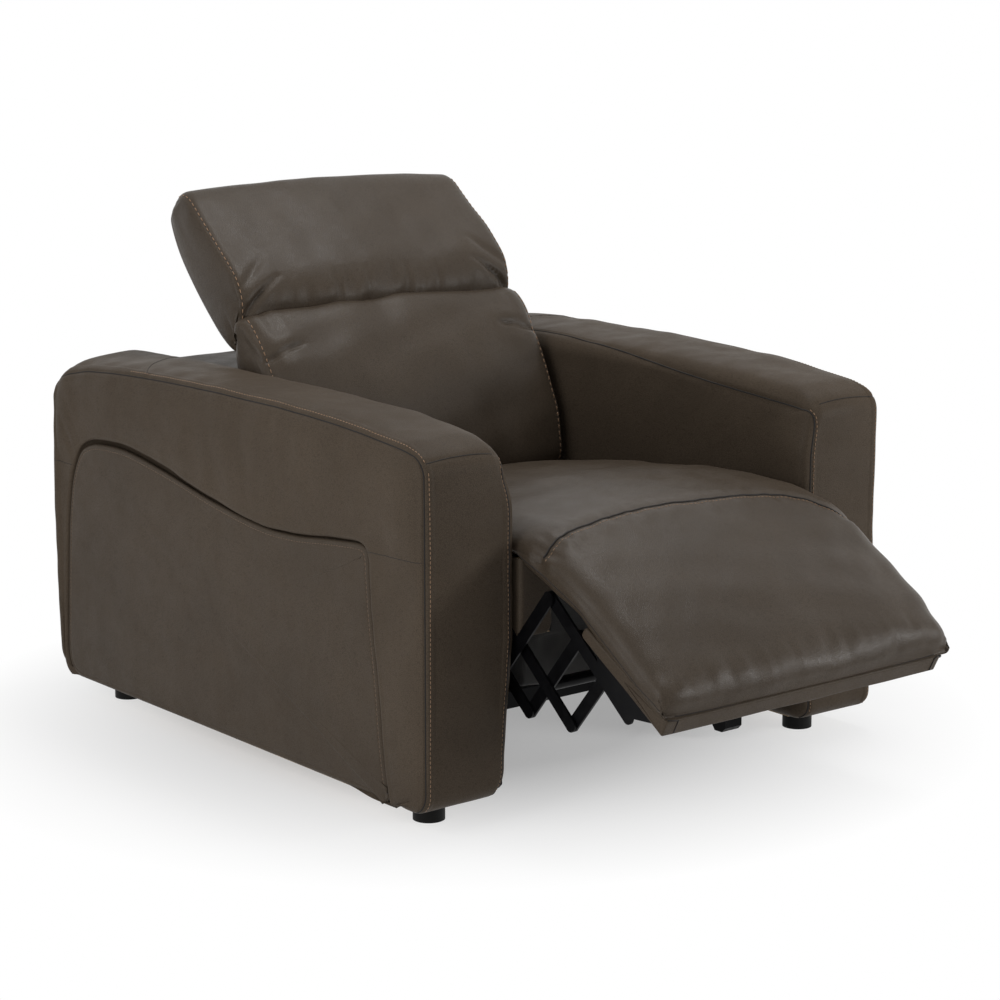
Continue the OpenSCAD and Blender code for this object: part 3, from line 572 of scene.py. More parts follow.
# Soft folds of the cover above the swoop: start and end in y and z, width and depth. Then the share of
# that depth at both ends
ARM_CREASES = [((500, 560), (468, 478), 5, 2.6), ((478, 575), (456, 484), 5, 2.4),
               ((520, 520), (482, 448), 5, 2.3), ((455, 570), (440, 492), 6, 1.8),
               ((-60, 560), (-85, 452), 16, 1.4), ((-150, 580), (-170, 455), 18, 1.5),
               ((-255, 560), (-285, 462), 18, 1.3), ((40, 570), (20, 470), 16, 1.0),
               ((-345, 560), (-380, 470), 14, 1.2)]
CREASE_ENDS = 0.35


def arm_outline():
    """Side view of an arm in y and z, before its top is arched."""
    front, rear, low, top = ARM_FRONT, ARM_REAR, ARM_LOW[2], ARM_FLAT_TOP
    fl, rl, ft, rt = FRONT_LOW, REAR_LOW, FRONT_TOP, REAR_TOP
    return np.concatenate([
        line((rear - rl, low), (front + fl, low), ARM_STEPS["bottom"]),
        arc((front + fl, low + fl), fl, 270, 180, ARM_STEPS["front_low"]),
        line((front, low + fl), (front, top - ft), ARM_STEPS["front"]),
        arc((front + ft, top - ft), ft, 180, 90, ARM_STEPS["front_top"]),
        line((front + ft, top), (rear - rt, top), ARM_STEPS["top"]),
        arc((rear - rt, top - rt), rt, 90, 0, ARM_STEPS["rear_top"]),
        line((rear, top - rt), (rear, low + rl), ARM_STEPS["rear"]),
        arc((rear - rl, low + rl), rl, 0, -90, ARM_STEPS["rear_low"]),
    ])


def panel_outline():
    """Edge of the lower side panel, with as many steps as the arm's outline."""
    pieces = {"front": SWOOP_FRONT, "front_top": SWOOP_CORNER, "top": SWOOP_TOP,
              "rear_top": SWOOP_REAR_CORNER, "rear": SWOOP_REAR, "rear_low": SWOOP_REAR_LOW}
    bottom = line(SWOOP_REAR_LOW[-1], SWOOP_FRONT[0], STEP["front"])
    return np.concatenate([bottom] + [curve_through(points, ARM_STEPS[name] + 1)[:-1]
                                      for name, points in pieces.items()])


def arch(y, peak, rise, rear, power):
    """Height of an arm's top above its ends at y."""
    reach = np.where(y < peak, peak - ARM_FRONT, rear - peak)
    return rise * np.maximum(1 - np.abs((y - peak) / reach) ** power, 0)


def arm_arch(rings, near):
    """Lifts the upper part of an arm's rings, in u, y and z, to its arched and crowned top."""
    u, y, z = rings[..., 0], rings[..., 1], rings[..., 2]
    outer = arch(y, -30, 29, ARM_REAR, 2.6)
    if not near:
        outer = arch(y, 60, 36, 600, 3) + 3 * between(y, -230, 0, 380, 540)
    inner = arch(y, 170, 27, 690, 4)
    share = (u + ARM_HALF) / (2 * ARM_HALF)
    crown = 14 * (1 - np.clip(np.abs(u) / ARM_HALF, 0, 1) ** 4) * smooth_step(ARM_REAR - np.abs(y), 0, 60)
    droop = 10 * bell(u, ARM_HALF, 30) * smooth_step(y, 430, 545)
    rings[..., 2] += (inner * (1 - share) + outer * share + crown - droop) * smooth_step(z, 430, 600)
    bulge = 10 * smooth_step(z, 150, 330) - 20 * smooth_step(z, 500, 620)
    bulge = bulge * (1 - smooth_step(y, -530, -440))
    bulge -= 8 * (1 - smooth_step(z, 40, 90)) * (1 - smooth_step(y, -548, -512))
    rings[..., 0] -= bulge * (1 - share)
    return rings


def edge_rings(outline, normal, radius, face, sign, turns):
    """Rings round an edge, from the side face at the sign side towards the middle, or back."""
    return [at_x(sign * (face - radius * (1 - math.cos(t))), outline - normal * radius * (1 - math.sin(t)))
            for t in turns]


def arm_rings():
    """Rings of an arm in u (from its mid plane, out from the chair), y and z, and named ring numbers."""
    outline, panel = arm_outline(), panel_outline()
    normal, panel_normal = outward(outline), outward(panel)
    turns = np.linspace(0, math.pi / 2, 8)
    centre = np.array([0.0, 320.0])
    inner = outline - normal * INNER_EDGE - centre
    rings = [at_x(-ARM_HALF, centre + inner * t)
             for t in (0.1, 0.25, 0.4, 0.55, 0.68, 0.78, 0.86, 0.92, 0.97)]
    marks = {"inner_face": len(rings)}
    rings += edge_rings(outline, normal, INNER_EDGE, ARM_HALF, -1, turns)
    marks["flat"] = len(rings) - 1
    rings += [at_x(u, outline) for u in FLATS]
    marks["flat_end"] = len(rings)
    rings += edge_rings(outline, normal, OUTER_EDGE, ARM_HALF, 1, turns[::-1])
    marks["outer_seam"], marks["band"] = marks["flat_end"] + 3, len(rings) - 1
    start, end = outline - normal * OUTER_EDGE, panel + panel_normal * LIP[0][0]
    rings += [at_x(ARM_HALF, start * (1 - t) + end * t)
              for t in (0.04, 0.1, 0.18, 0.28, 0.4, 0.52, 0.64, 0.76, 0.86, 0.94)]
    marks["lip"] = len(rings)
    rings += [at_x(ARM_HALF - drop, panel + panel_normal * out) for out, drop in LIP]
    rings = np.stack(rings)
    index = np.arange(len(outline))
    hidden = between(index, -6, 2, STEP["front_low"] - 4, STEP["front_low"] + 9)
    hidden = np.maximum(hidden, smooth_step(index, STEP["rear_low"] + 7, STEP["end"] - 1))
    tuck = hidden * smooth_step(rings[..., 0], 40, 70) * smooth_step(rings[..., 1], -505, -450)
    tuck *= 1 - smooth_step(rings[..., 2], 70, 120)
    rings[..., 2] = np.maximum(rings[..., 2], ARM_LOW[2] + 0.2)
    rings[..., 2] += 4 * tuck * (1 - smooth_step(rings[..., 2], 44, 60))
    rings[..., 0] -= 6 * tuck
    return rings, marks


def inner_seam(marks, step):
    """Ring number of an arm's inner seam, from the inner face at the front up on to the top."""
    front, rear = ARM_FRONT + FRONT_TOP, ARM_REAR - REAR_TOP
    y = front + (rear - front) * (np.asarray(step, float) - STEP["top"]) / ARM_STEPS["top"]
    on_top = smooth_step(step, STEP["front_top"] - 4, STEP["front_top"] + 12)
    return marks["inner_face"] + 5 * (1 - on_top) + on_top * 7 * smooth_step(y, -400, 180)


def arm_heights(rings, marks, near):
    """How far each point of an arm swells from its stretched shape."""
    u, y, z = rings[..., 0], rings[..., 1], rings[..., 2]
    ring = np.arange(len(rings))[:, None] + np.zeros(rings.shape[1])
    # Inner face: fuller where the seat and its sitter's elbow press the foam up
    full = 6 * between(z, 60, 230, 500, 600)
    free = np.maximum(1 - smooth_step(y, ARM_FRONT + 40, ARM_FRONT + 120), 0.6 * smooth_step(z, 250, 330))
    inner = ring < marks["flat"]
    total = np.where(inner, full * free, 0)
    # Front face
    facing = (1 - smooth_step(y, ARM_FRONT + 2, ARM_FRONT + 30)) * ~inner
    total += 5 * facing * (1 - (u / ARM_HALF) ** 2) * smooth_step(z, 60, 200)
    # Outer band above the swoop
    across = np.clip((ring - marks["band"]) / (marks["lip"] - marks["band"]), 0, 1)
    band = np.sin(math.pi * across**0.9) * (ring < marks["lip"])
    total += band * (5.5 * smooth_step(z, 430, 500) + 2.2 * (1 - smooth_step(y, -480, -400)))
    total += 1.5 * bell(ring, marks["lip"], 2.5) * smooth_step(z, 400, 440)
    # Lap beside each edge seam, and the sunk seam itself
    lap, outer = marks["flat_end"] - 3.5, marks["outer_seam"]
    sewn = 1.2 * between(ring, lap - 0.6, lap + 0.6, outer - 1, outer) - 2.2 * bell(ring, outer, 0.6)
    sewn -= 2.0 * bell(ring, inner_seam(marks, np.arange(rings.shape[1]))[None], 0.6)
    total += sewn * smooth_step(z, 44, 60)
    # Rear face
    rear = smooth_step(y, 535, 552) * np.sin(math.pi * np.clip((z - 34) / 580, 0, 1)) ** 0.4
    total += 8.5 * rear * (ring > marks["inner_face"]) * (ring < marks["lip"])
    # Uneven hand of the leather, which differs between the arms
    points = rings + (0, 0, 0 if near else 4000)
    total += 0.55 * waves(points, 170, 3) + 0.28 * waves(points, 62, 5)
    return total * smooth_step(z, ARM_LOW[2] - 1, ARM_LOW[2] + 8)


def make_arm(side, name):
    """One arm's cover with its seams, and the panel on the lower part of its side."""
    near = side < 0
    rings, marks = arm_rings()
    heights = arm_heights(rings, marks, near)
    outer = np.arange(len(rings))[:, None] >= marks["band"]
    for crease in ARM_CREASES:
        heights += furrow(rings[..., 1], rings[..., 2], *crease, CREASE_ENDS) * outer
    rings = arm_arch(rings, near)
    rings[..., 0] = side * (ARM_MID + rings[..., 0])
    skin = Skin(rings)
    sink_cross_seams(marks, heights)
    skin.swell(heights)
    skin.build(f"arm_leather_{name}", "leather", "base", f"arm_cover_{name}")
    dark, thread, panel_thread = Pile(), Pile(), Pile()
    arm_sewing(skin, marks, dark, thread)
    panel_line = ring_line(PANEL_STITCHES, STEP["front"] + 4, STEP["rear_low"] - 4, 600)
    sew(panel_thread, make_panel(side, name), panel_line)
    dark.build(f"arm_seam_shade_{name}", SEAM_SHADE_LOOK, "base")
    thread.build(f"arm_stitches_{name}", THREAD_LOOK, "base")
    panel_thread.build(f"panel_stitches_{name}", DARK_THREAD_LOOK, "base")


def top_seam(marks):
    """Places of the curved seam across the top of an arm."""
    u, y = curve_through([(78, 235), (60, 262), (32, 292), (0, 318), (-32, 336), (-62, 341)], 60).T
    front, rear = ARM_FRONT + FRONT_TOP, ARM_REAR - REAR_TOP
    return np.stack([rings_at(u, marks), STEP["top"] + ARM_STEPS["top"] * (y - front) / (rear - front)], -1)


def front_seam(marks):
    """Places of the seam where an arm's top turns down to its front."""
    u = np.linspace(-68, 72, 40)
    return np.stack([rings_at(u, marks), STEP["front_top"] + 7.5 - 1.2 * (u / ARM_HALF) ** 2], -1)


def rings_at(u, marks):
    """Ring numbers on the top of an arm at u, between its two edges."""
    flats = [INNER_EDGE - ARM_HALF, *FLATS, ARM_HALF - OUTER_EDGE]
    return np.interp(u, flats, marks["flat"] + np.arange(len(flats)))


def sink_cross_seams(marks, heights):
    """Lowers an arm's heights at the seams that cross its rings."""
    ring, steps = np.arange(len(heights))[:, None], np.arange(heights.shape[1])[None]
    bend = top_seam(marks)[::-1]
    place = np.interp(ring[:, 0], bend[:, 0], bend[:, 1])[:, None]
    on_top = (ring >= marks["flat"] - 2) & (ring <= marks["outer_seam"])
    heights += (0.5 * bell(steps, place + 3, 2.0) - 0.9 * bell(steps, place, 0.9)) * on_top
    heights -= 1.2 * bell(steps, STEP["front_top"] + 7, 0.8) * on_top


def level_line(skin, marks, steps, heights):
    """Places of a level seam on an arm's side, from its edge to the swoop, within a range of steps."""
    steps = np.arange(*steps)
    rows = np.arange(marks["outer_seam"], marks["lip"] + 5)
    places = []
    for row, height in zip(rows, np.linspace(*heights, len(rows))):
        z = skin.grid[row, steps, 2]
        order = np.argsort(z)
        places.append((row, np.interp(height, z[order], steps[order])))
    return places


def arm_sewing(skin, marks, dark, thread):
    """Seams and stitches of one arm. The seams are dark tubes of painted shade."""
    first, last = STEP["front_low"] + 3, STEP["rear_low"] + 8
    outer = ring_line(marks["outer_seam"], first, last, 500)
    steps = outer[:, 1]
    inner = np.stack([inner_seam(marks, steps), steps], -1)
    seam(dark, skin, outer)
    seam(dark, skin, inner)
    seam(dark, skin, top_seam(marks), 0.5)
    seam(dark, skin, front_seam(marks), 0.8)
    stitched = marks["flat_end"] + 0.4
    sew(thread, skin, ring_line(stitched, first + 4, STEP["front_top"] + 2, 200))
    sew(thread, skin, ring_line(stitched, STEP["front_top"] + 8, STEP["top"] + 150, 300))
    sew(thread, skin, inner[(steps > first + 6) & (steps < STEP["front_top"] + 5)] + (0.9, 0))
    seam(dark, skin, level_line(skin, marks, (STEP["front"] + 3, STEP["front_top"] + 12), (446, 438)), 0.5)
    seam(dark, skin, level_line(skin, marks, (STEP["rear_top"] + 3, STEP["rear_low"]), (441, 439)), 0.5)


def make_panel(side, name):
    """The padded panel on the lower part of an arm's side, with its edge rolled in."""
    panel = panel_outline()
    normal = outward(panel)
    face = ARM_HALF - 1.5
    index = np.arange(len(panel))
    on_top = between(index, STEP["top"] - 8, STEP["top"] + 20, STEP["rear_top"] + 6, STEP["rear"])
    slope = on_top * (0.15 + 0.85 * bell(panel[:, 0], 120, 150))
    panel = panel - normal * (0.8 + 2.6 * slope)[:, None]
    rings = [at_x(face - drop, panel - normal * inset) for inset, drop in PANEL_ROLL]
    centre = np.array([25.0, 250.0])
    inner = panel - normal * PANEL_ROLL[-1][0] - centre
    rings += [at_x(face + 0.3, centre + inner * t)
              for t in (0.93, 0.84, 0.74, 0.62, 0.5, 0.38, 0.26, 0.14, 0.05)]
    rings = np.stack(rings)
    depth = np.arange(len(rings))[:, None] - PANEL_FACE
    heights = 1.6 * smooth_step(depth, 0, 5) - 2.4 * slope * (1 - smooth_step(depth, 0, 4))
    uneven = 0.5 * waves(rings + (0, 0, 900), 210, 8) + 0.2 * waves(rings, 60, 9)
    heights = heights + uneven * smooth_step(depth, -2, 3)
    rings[..., 0] = side * (ARM_MID + rings[..., 0])
    skin = Skin(rings)
    skin.swell(heights)
    skin.build(f"side_panel_leather_{name}", "leather_panel", "base", f"arm_side_panel_{name}")
    return skin


# Pads

# How far each ring of a pad's closed side is drawn in, how much a side fold bites on it, and the gaps
# of the other rings from the side
CAP = (1.0, 0.86, 0.66, 0.44, 0.24, 0.1)
CAP_BITE = (0, 0.6, 0.9, 1, 1, 1)
EDGE_GAPS = [0, 0.6, 1.6, 3, 5, 7.5, 10.5, 14, 18, 23, 29, *range(36, 320, 7)]

# Distance of the stitched side seams of the back and the headrest from the chair's middle
SIDE_SEAM = 300


def loop(upper, lower):
    """Closed outline from two lines that share both ends, walked forward along the lower one."""
    return np.concatenate([lower[:-1], upper[::-1][:-1]])


class Pad:
    """A cushion whose side view is bounded by an upper and a lower line, from its rear to its front.

    Both lines have the same number of points, so that its sides close on a line between them, in
    which the lower one has the weight low. The sides bulge by puff. The shoulders are a radius and a
    reach for the upper face, and then the same for the lower one. The crown is how far the middle rises
    above the sides, and dropped is the share of it by which the whole upper face sits lower."""

    def __init__(self, upper, lower, half_width, shoulders, crown, dropped=0.0, puff=4, low=0.5):
        self.count = count = len(upper)
        outline = loop(upper, lower)
        self.steps = steps = len(outline)
        normal = outward(outline)
        index = np.arange(steps)
        face = between(index, count - 2, count + 3, steps - 5, steps)
        radius, reach, low_radius, low_reach = shoulders
        radius, reach = self.round_loop(radius, low_radius), self.round_loop(reach, low_reach)
        crown = self.round_loop(crown, 0)
        gaps = [g for g in EDGE_GAPS if g < half_width - 12] + [half_width]
        self.xs = np.array(sorted({round(x, 3) for g in gaps for x in (g - half_width, half_width - g)}))
        rings = []
        for x in self.xs:
            short = np.clip(1 - (half_width - abs(x)) / reach, 0, 1)
            inset = radius * (1 - np.sqrt(np.maximum(1 - short**2, 0)))
            rise = crown * (1 - dropped - np.abs(x / half_width) ** 2.3)
            rings.append(at_x(x, outline - normal * (inset - rise)[:, None]))
        share = np.where(index < count, low, 1 - low)[:, None]
        near, far = (self.cap(edge, share, puff) for edge in (rings[0], rings[-1]))
        self.skin = Skin(near + rings + far[::-1])
        full = [1.0] * len(rings)
        self.inside = np.array([*CAP_BITE, *full, *CAP_BITE[::-1]])[:, None]
        self.top = np.outer([1 - t for t in CAP] + full + [1 - t for t in CAP[::-1]], face)

    def round_loop(self, upper, lower):
        """A number for each step of the outline, from those of its upper and lower line."""
        upper, lower = np.broadcast_to(upper, self.count), np.broadcast_to(lower, self.count)
        return loop(upper.astype(float), lower.astype(float))

    @staticmethod
    def cap(edge, share, puff):
        """Rings that close a side, from a line between its upper and lower edge out to that edge."""
        middle = edge * share + edge[-np.arange(len(edge)) % len(edge)] * (1 - share)
        rings = [edge * (1 - t) + middle * t for t in CAP]
        for ring, t in zip(rings, CAP):
            ring[:, 0] += math.copysign(puff, edge[0, 0]) * math.sin(math.pi / 2 * t) ** 0.7
        return rings

    def ring(self, x):
        """Ring number at x."""
        return len(CAP) + np.interp(x, self.xs, np.arange(len(self.xs)))

    def upper_step(self, k):
        """Step number of point k of the upper line, counted from the rear."""
        return self.steps - np.asarray(k, float)

    def sew_sides(self, body, reach):
        """Bold stitches down each side of the face, in a fine dark tube of painted seam shade."""
        dark, thread = Pile(), Pile()
        first, last = (float(self.upper_step(k)) for k in reach)
        for side in (-1, 1):
            places = ring_line(self.ring(side * SIDE_SEAM), last, first, 300)
            seam(dark, self.skin, places, 0.7, -0.4)
            sew(thread, self.skin, places, 1.5, 0.6)
        # The seams object holds the dark tubes of painted shade
        dark.build(f"{body}_seams", SEAM_SHADE_LOOK, body)
        thread.build(f"{body}_stitches", THREAD_LOOK, body)


def matched(upper, lower, pairs, count):
    """Two lines resampled so that each pair of places on them gets the same point number."""
    marks_up = [0] + [nearest(upper, a) for a, _ in pairs] + [len(upper) - 1]
    marks_low = [0] + [nearest(lower, b) for _, b in pairs] + [len(lower) - 1]
    lengths = [run_along(upper[a:b + 1])[-1] for a, b in zip(marks_up, marks_up[1:])]
    counts = [max(int(round(count * x / sum(lengths))), 4) for x in lengths]
    lines = []
    for points, marks in ((upper, marks_up), (lower, marks_low)):
        pieces = [spread(points[a:b + 1], n + 1)[:-1] for a, b, n in zip(marks, marks[1:], counts)]
        lines.append(np.concatenate(pieces + [points[-1:]]))
    return lines


# The seat cushion and the footrest pad, in y and z, or along the footrest and out from it
SEAT_TOP = [(138, 380), (132, 402), (100, 420), (17, 437), (-67, 449), (-207, 468), (-308, 479),
            (-407, 487), (-470, 489), (-533, 488), (-580, 484), (-620, 473)]
FOOTREST_TOP = [(0, 84), (60, 90), (120, 94), (180, 94), (226, 92), (252, 88), (270, 81), (282, 72),
                (289, 63), (292, 54), (295, 46), (297, 41)]
SEAT_UNDER = [(138, 380), (134, 356), (110, 350), (0, 370), (-200, 395), (-400, 417), (-530, 431),
              (-556, 429), (-570, 420), (-590, 411), (-620, 399)]
FOOTREST_UNDER = [(4, 13), (35, 21), (66, 27), (90, 26), (150, 26), (240, 29), (270, 32), (288, 37),
                  (297, 41)]
# Places of its upper and lower line that lie across from each other
SEAT_PAIRS = [((100, 420), (105, 351)), ((-207, 468), (-207, 396)), ((-407, 487), (-400, 417)),
              ((-533, 488), (-530, 431)), ((-620, 473), (-600, 407))]
FOOTREST_PAIRS = [((60, 90), (60, 26)), ((180, 93), (180, 27)), ((252, 88), (252, 30)),
                  ((289, 63), (286, 37))]
# The seam between the two, in x and y
CROSS_SEAM = [(-320, -626), (-297, -616), (-258, -606), (-197, -595), (-141, -589), (-41, -588),
              (76, -595), (150, -600), (200, -611), (240, -634), (264, -660), (320, -704)]
CHAISE_HALF, CHAISE_POINTS = 316, 230
# How far the footrest's corner is drawn in, on its pad and on its board
CHAISE_DRAWN, BOARD_DRAWN = 20, 33


def across_seam(upper, xs):
    """Number of the upper line's point that the seam across the chaise passes at each x."""
    bend = curve_through(CROSS_SEAM, 80)
    return np.interp(-np.interp(xs, bend[:, 0], bend[:, 1]), -upper[:, 0], np.arange(len(upper)))


def draw_in(points, along, depth):
    """Pulls the footrest's outer corner in on the sitter's left, as its cover does."""
    points[..., 0] -= depth * smooth_step(points[..., 0], 120, 312) * smooth_step(along, 190, 300)


def make_chaise():
    """The seat cushion and the footrest pad, one cover that bends at the footrest's hinge."""
    upper, lower = (curve_through(np.concatenate([seat, footrest(rest)]), 6 * CHAISE_POINTS)
                    for seat, rest in ((SEAT_TOP, FOOTREST_TOP), (SEAT_UNDER, FOOTREST_UNDER)))
    pairs = SEAT_PAIRS + [(footrest(a), footrest(b)) for a, b in FOOTREST_PAIRS]
    upper, lower = matched(upper, lower, pairs, CHAISE_POINTS)
    run = np.arange(len(upper))
    hinge, tip = nearest(upper, (-600, 480)), nearest(upper, footrest((284, 70)))
    at_tip = smooth_step(run, tip - 14, tip)
    radius = 34 - 7 * smooth_step(run, hinge - 6, hinge + 14) - 13 * at_tip
    radius *= smooth_step(run, 0, 8) * 0.8 + 0.2
    radius -= 8 * smooth_step(run, tip, len(run) - 2)
    reach = 64 - 20 * smooth_step(run, hinge, hinge + 20) - 16 * at_tip
    crown = (14 - 8 * smooth_step(run, tip - 12, tip)) * smooth_step(run, 0, 10)
    pad = Pad(upper, lower, CHAISE_HALF - 3, (radius, reach, 7, 7), crown, dropped=1.0, puff=3, low=0.68)
    skin, points = pad.skin, pad.skin.grid
    along = FOOTREST.measure(points)[0]
    draw_in(points, along, CHAISE_DRAWN)
    x, step = points[..., 0], np.arange(points.shape[1])[None]
    points[..., 0] += 13 * bell(step, pad.upper_step(len(run) - 2), 6) * smooth_step(x, 262, 296)
    place = pad.upper_step(across_seam(upper, x))
    heights = 1.6 * bell(step, place - 4.5, 3.2) + 1.2 * bell(step, place + 4.5, 3.2)
    heights -= 1.8 * bell(step, place, 1.3)
    heights -= 7 * bell(step, place, 5.0) * smooth_step(np.abs(x) / CHAISE_HALF, 0.80, 0.99)
    heights += 1.2 * waves(points, 160, 21) + 0.5 * waves(points, 70, 22)
    heights += 0.7 * waves(points * (1.0, 0.35, 0.35), 26, 23) * bell(along, 262, 26)
    gathered = (bell(step, place - 4, 4) + 0.6 * bell(step, place + 4, 4)) * (1 + 1.2 * bell(x, -290, 70))
    heights += 0.7 * waves(points * (1.6, 0.6, 0.6), 34, 24) * gathered
    skin.swell(heights * pad.top)
    made = skin.build("chaise_cushion", "leather_cushion", None, ends="weld")
    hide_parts("seat_cushion", "footrest_pad")
    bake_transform(made)
    # Painted shade: the seams are dark tubes in the seam-shadow material
    dark, thread = Pile(), Pile()
    xs = np.linspace(-CHAISE_HALF + 6, CHAISE_HALF - 6, 90)
    across = np.stack([pad.ring(xs), pad.upper_step(across_seam(upper, xs))], -1)
    seam(dark, skin, across, 1.7, 0.6)
    sew(thread, skin, across - (0, 2.2))
    first, last, hem = (pad.upper_step(nearest(upper, place)) for place in
                        ((-470, 489), footrest((289, 63)), footrest((296.5, 42))))
    for ring in (0.0, len(skin.grid) - 1.0):
        seam(dark, skin, ring_line(ring, last, first, 300), 0.9, -0.3)
    xs = np.linspace(-292, 288, 60)
    seam(dark, skin, np.stack([pad.ring(xs), np.full(60, hem)], -1), 0.7, 0)
    for pile, name, look in ((dark, "chaise_seam_shade", SEAM_SHADE_LOOK), (thread, "chaise_stitches", THREAD_LOOK)):
        piece = pile.build(name, look, None)
        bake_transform(piece)


# The back cushion's face and rear in y and z, and the darts in its right half, in x and z
BACK_FACE = [(92, 404), (66, 412), (58, 432), (62, 470), (76, 520), (100, 580), (130, 634), (160, 677),
             (186, 707), (206, 721), (224, 719), (238, 698)]
BACK_REAR = [(92, 404), (128, 402), (166, 406), (178, 440), (196, 490), (214, 545), (232, 600),
             (244, 650), (238, 698)]
BACK_PAIRS = [((208, 721), (243, 665)), ((130, 634), (228, 590)), ((76, 520), (192, 480)),
              ((60, 425), (150, 402))]
BACK_HALF = 314
BACK_DARTS = [((-304, 650), (-262, 667), 3.4, 6.5), ((-262, 667), (-222, 675), 3.4, 6.5),
              ((-284, 678), (-222, 692), 12, -3.5), ((-284, 640), (-222, 654), 12, -2.0)]


def make_back():
    """The back cushion, crowned, with a stitched seam down each side and darts at its top."""
    face, rear = (curve_through(points, 900)[::-1] for points in (BACK_FACE, BACK_REAR))
    face, rear = matched(face, rear, BACK_PAIRS, 120)
    run = np.arange(len(face))
    ends = between(run, 0, 14, len(run) - 14, len(run) - 1)
    shoulders = 22 * (0.45 + 0.55 * ends), 44, 26, 40
    pad = Pad(face, rear, BACK_HALF, shoulders, 13 * ends, puff=3, low=0.4)
    points = pad.skin.grid
    x, y, z = points[..., 0], points[..., 1], points[..., 2]
    heights = 1.5 * waves(points, 170, 31) + 0.6 * waves(points, 80, 32) - bell(np.abs(x), SIDE_SEAM, 2.5)
    gather = smooth_step(np.abs(x), 190, 300) * smooth_step(z, 600, 680)
    heights += 1.2 * gather * waves(points * (1.0, 0.4, 0.4), 34, 33)
    for side in (-1, 1):
        for dart in BACK_DARTS:
            heights += furrow(x * -side, z, *dart)
    heights *= pad.top
    at_side = smooth_step(np.abs(x), 304, 311) * pad.inside
    heights += furrow(y, z, (150, 672), (200, 716), 6, 3.5) * at_side
    heights += furrow(y, z, (136, 640), (206, 688), 6, 3.0) * at_side
    pad.skin.swell(heights)
    made = pad.skin.build("back_cushion_leather", "leather_cushion", "back", "back_cushion", ends="weld")
    pad.sew_sides("back", (14, len(run) - 6))


# The headrest's face and rear, its corner folds in x and along it, and its side folds along and out
HEAD_FACE = [(290, 30), (287, 48), (276, 62), (255, 69), (225, 71), (184, 73), (120, 76), (78, 77),
             (54, 74), (34, 67), (19, 57), (8, 45), (1, 33), (-5, 22), (-12, 12), (-20, 6)]
HEAD_REAR = [(290, 30), (288, 8), (272, -16), (211, -38), (132, -47), (54, -48), (17, -44), (-8, -34),
             (-20, -18), (-24, -4), (-20, 6)]
HEAD_PAIRS = [((255, 68), (255, -22)), ((101, 72), (101, -48)), ((26, 66), (20, -44))]
HEAD_FOLDS = [((218, 56), (296, 6), 4.6, 7.5), ((252, 34), (302, -6), 4, 6.0),
              ((232, 100), (298, 40), 8, 4.6)]
HEAD_SIDE_FOLDS = [((24, 44), (-30, 4), 7, 5.0), ((40, 14), (-26, -18), 7, 4.0),
                   ((58, 40), (14, 58), 7, 2.5)]
HEAD_PUCKERS = (-98, -80, -62, -52, -33, -8, 24, 60, 130)
HEAD_HALF = 306


def make_headrest():
    """The headrest cushion: a long soft wedge with stitched sides and a roll along its lower edge."""
    face, rear = (headrest(curve_through(points, 900)) for points in (HEAD_FACE, HEAD_REAR))
    face, rear = matched(face, rear, [(headrest(a), headrest(b)) for a, b in HEAD_PAIRS], 130)
    run = np.arange(len(face))
    ends = smooth_step(run, 2, 16) * (1 - 0.6 * smooth_step(run, len(run) - 26, len(run) - 8))
    radius = 9 + 12 * (1 - smooth_step(run, 4, 22)) + 6 * smooth_step(run, len(run) - 20, len(run) - 4)
    pad = Pad(face, rear, HEAD_HALF, (radius, 22, 21, 26), 15 * ends, puff=4)
    points = pad.skin.grid
    x = points[..., 0]
    along, out = HEADREST.measure(points)
    droop = 14 * smooth_step(np.abs(x), 200, 304) * (1 - smooth_step(along, -20, 60))
    droop *= 1 - smooth_step(out, 10, 56)
    points[..., 1:] -= droop[..., None] * HEADREST.along
    heights = 1.8 * waves(points, 190, 41) + 0.8 * waves(points, 90, 42)
    heights *= 1 - 0.75 * smooth_step(along, 225, 275)
    roll = bell(along, 8, 24) * smooth_step(out, 20, 50)
    heights += 1.3 * roll * waves(points * (1.0, 0.3, 0.3), 30, 43)
    for place in HEAD_PUCKERS:
        heights += furrow(x, along, (place, 52), (place - 5, 0), 4, 4.0) * smooth_step(out, 26, 44)
    heights -= bell(np.abs(x), SIDE_SEAM, 2.5)
    heights *= pad.top
    on_face = smooth_step(out, 10, 40) * pad.inside
    at_side = smooth_step(np.abs(x), 300, 306) * pad.inside
    for fold in HEAD_FOLDS:
        heights += (furrow(x, along, *fold) + furrow(-x, along, *fold)) * on_face
    for fold in HEAD_SIDE_FOLDS:
        heights += furrow(along, out, *fold) * at_side
    pad.skin.swell(heights)
    made = pad.skin.build("headrest_leather", "leather_cushion", "headrest", "headrest_cushion",
                          "headrest_board", ends="weld")
    pad.sew_sides("headrest", (8, len(run) - 12))


# Boards covered in leather

def wrapped(outline, half_width, radius, puff, seed):
    """A covered board: an outline in y and z carried across X, with rounded edges."""
    normal = outward(outline)
    centre = outline.mean(0)
    inner = outline - normal * radius - centre
    turns = np.linspace(0, math.pi / 2, 6)
    rings = [at_x(-half_width, centre + inner * t) for t in (0.25, 0.55, 0.8, 0.95)]
    rings += edge_rings(outline, normal, radius, half_width, -1, turns)
    rings += [at_x(x, outline) for x in np.linspace(-half_width + radius, half_width - radius, 46)[1:-1]]
    rings += edge_rings(outline, normal, radius, half_width, 1, turns[::-1])
    rings += [at_x(half_width, centre + inner * t) for t in (0.95, 0.8, 0.55, 0.25)]
    skin = Skin(rings)
    x = skin.grid[..., 0]
    skin.swell(puff * (1 - (x / half_width) ** 2) + 0.35 * waves(skin.grid, 120, seed))
    return skin


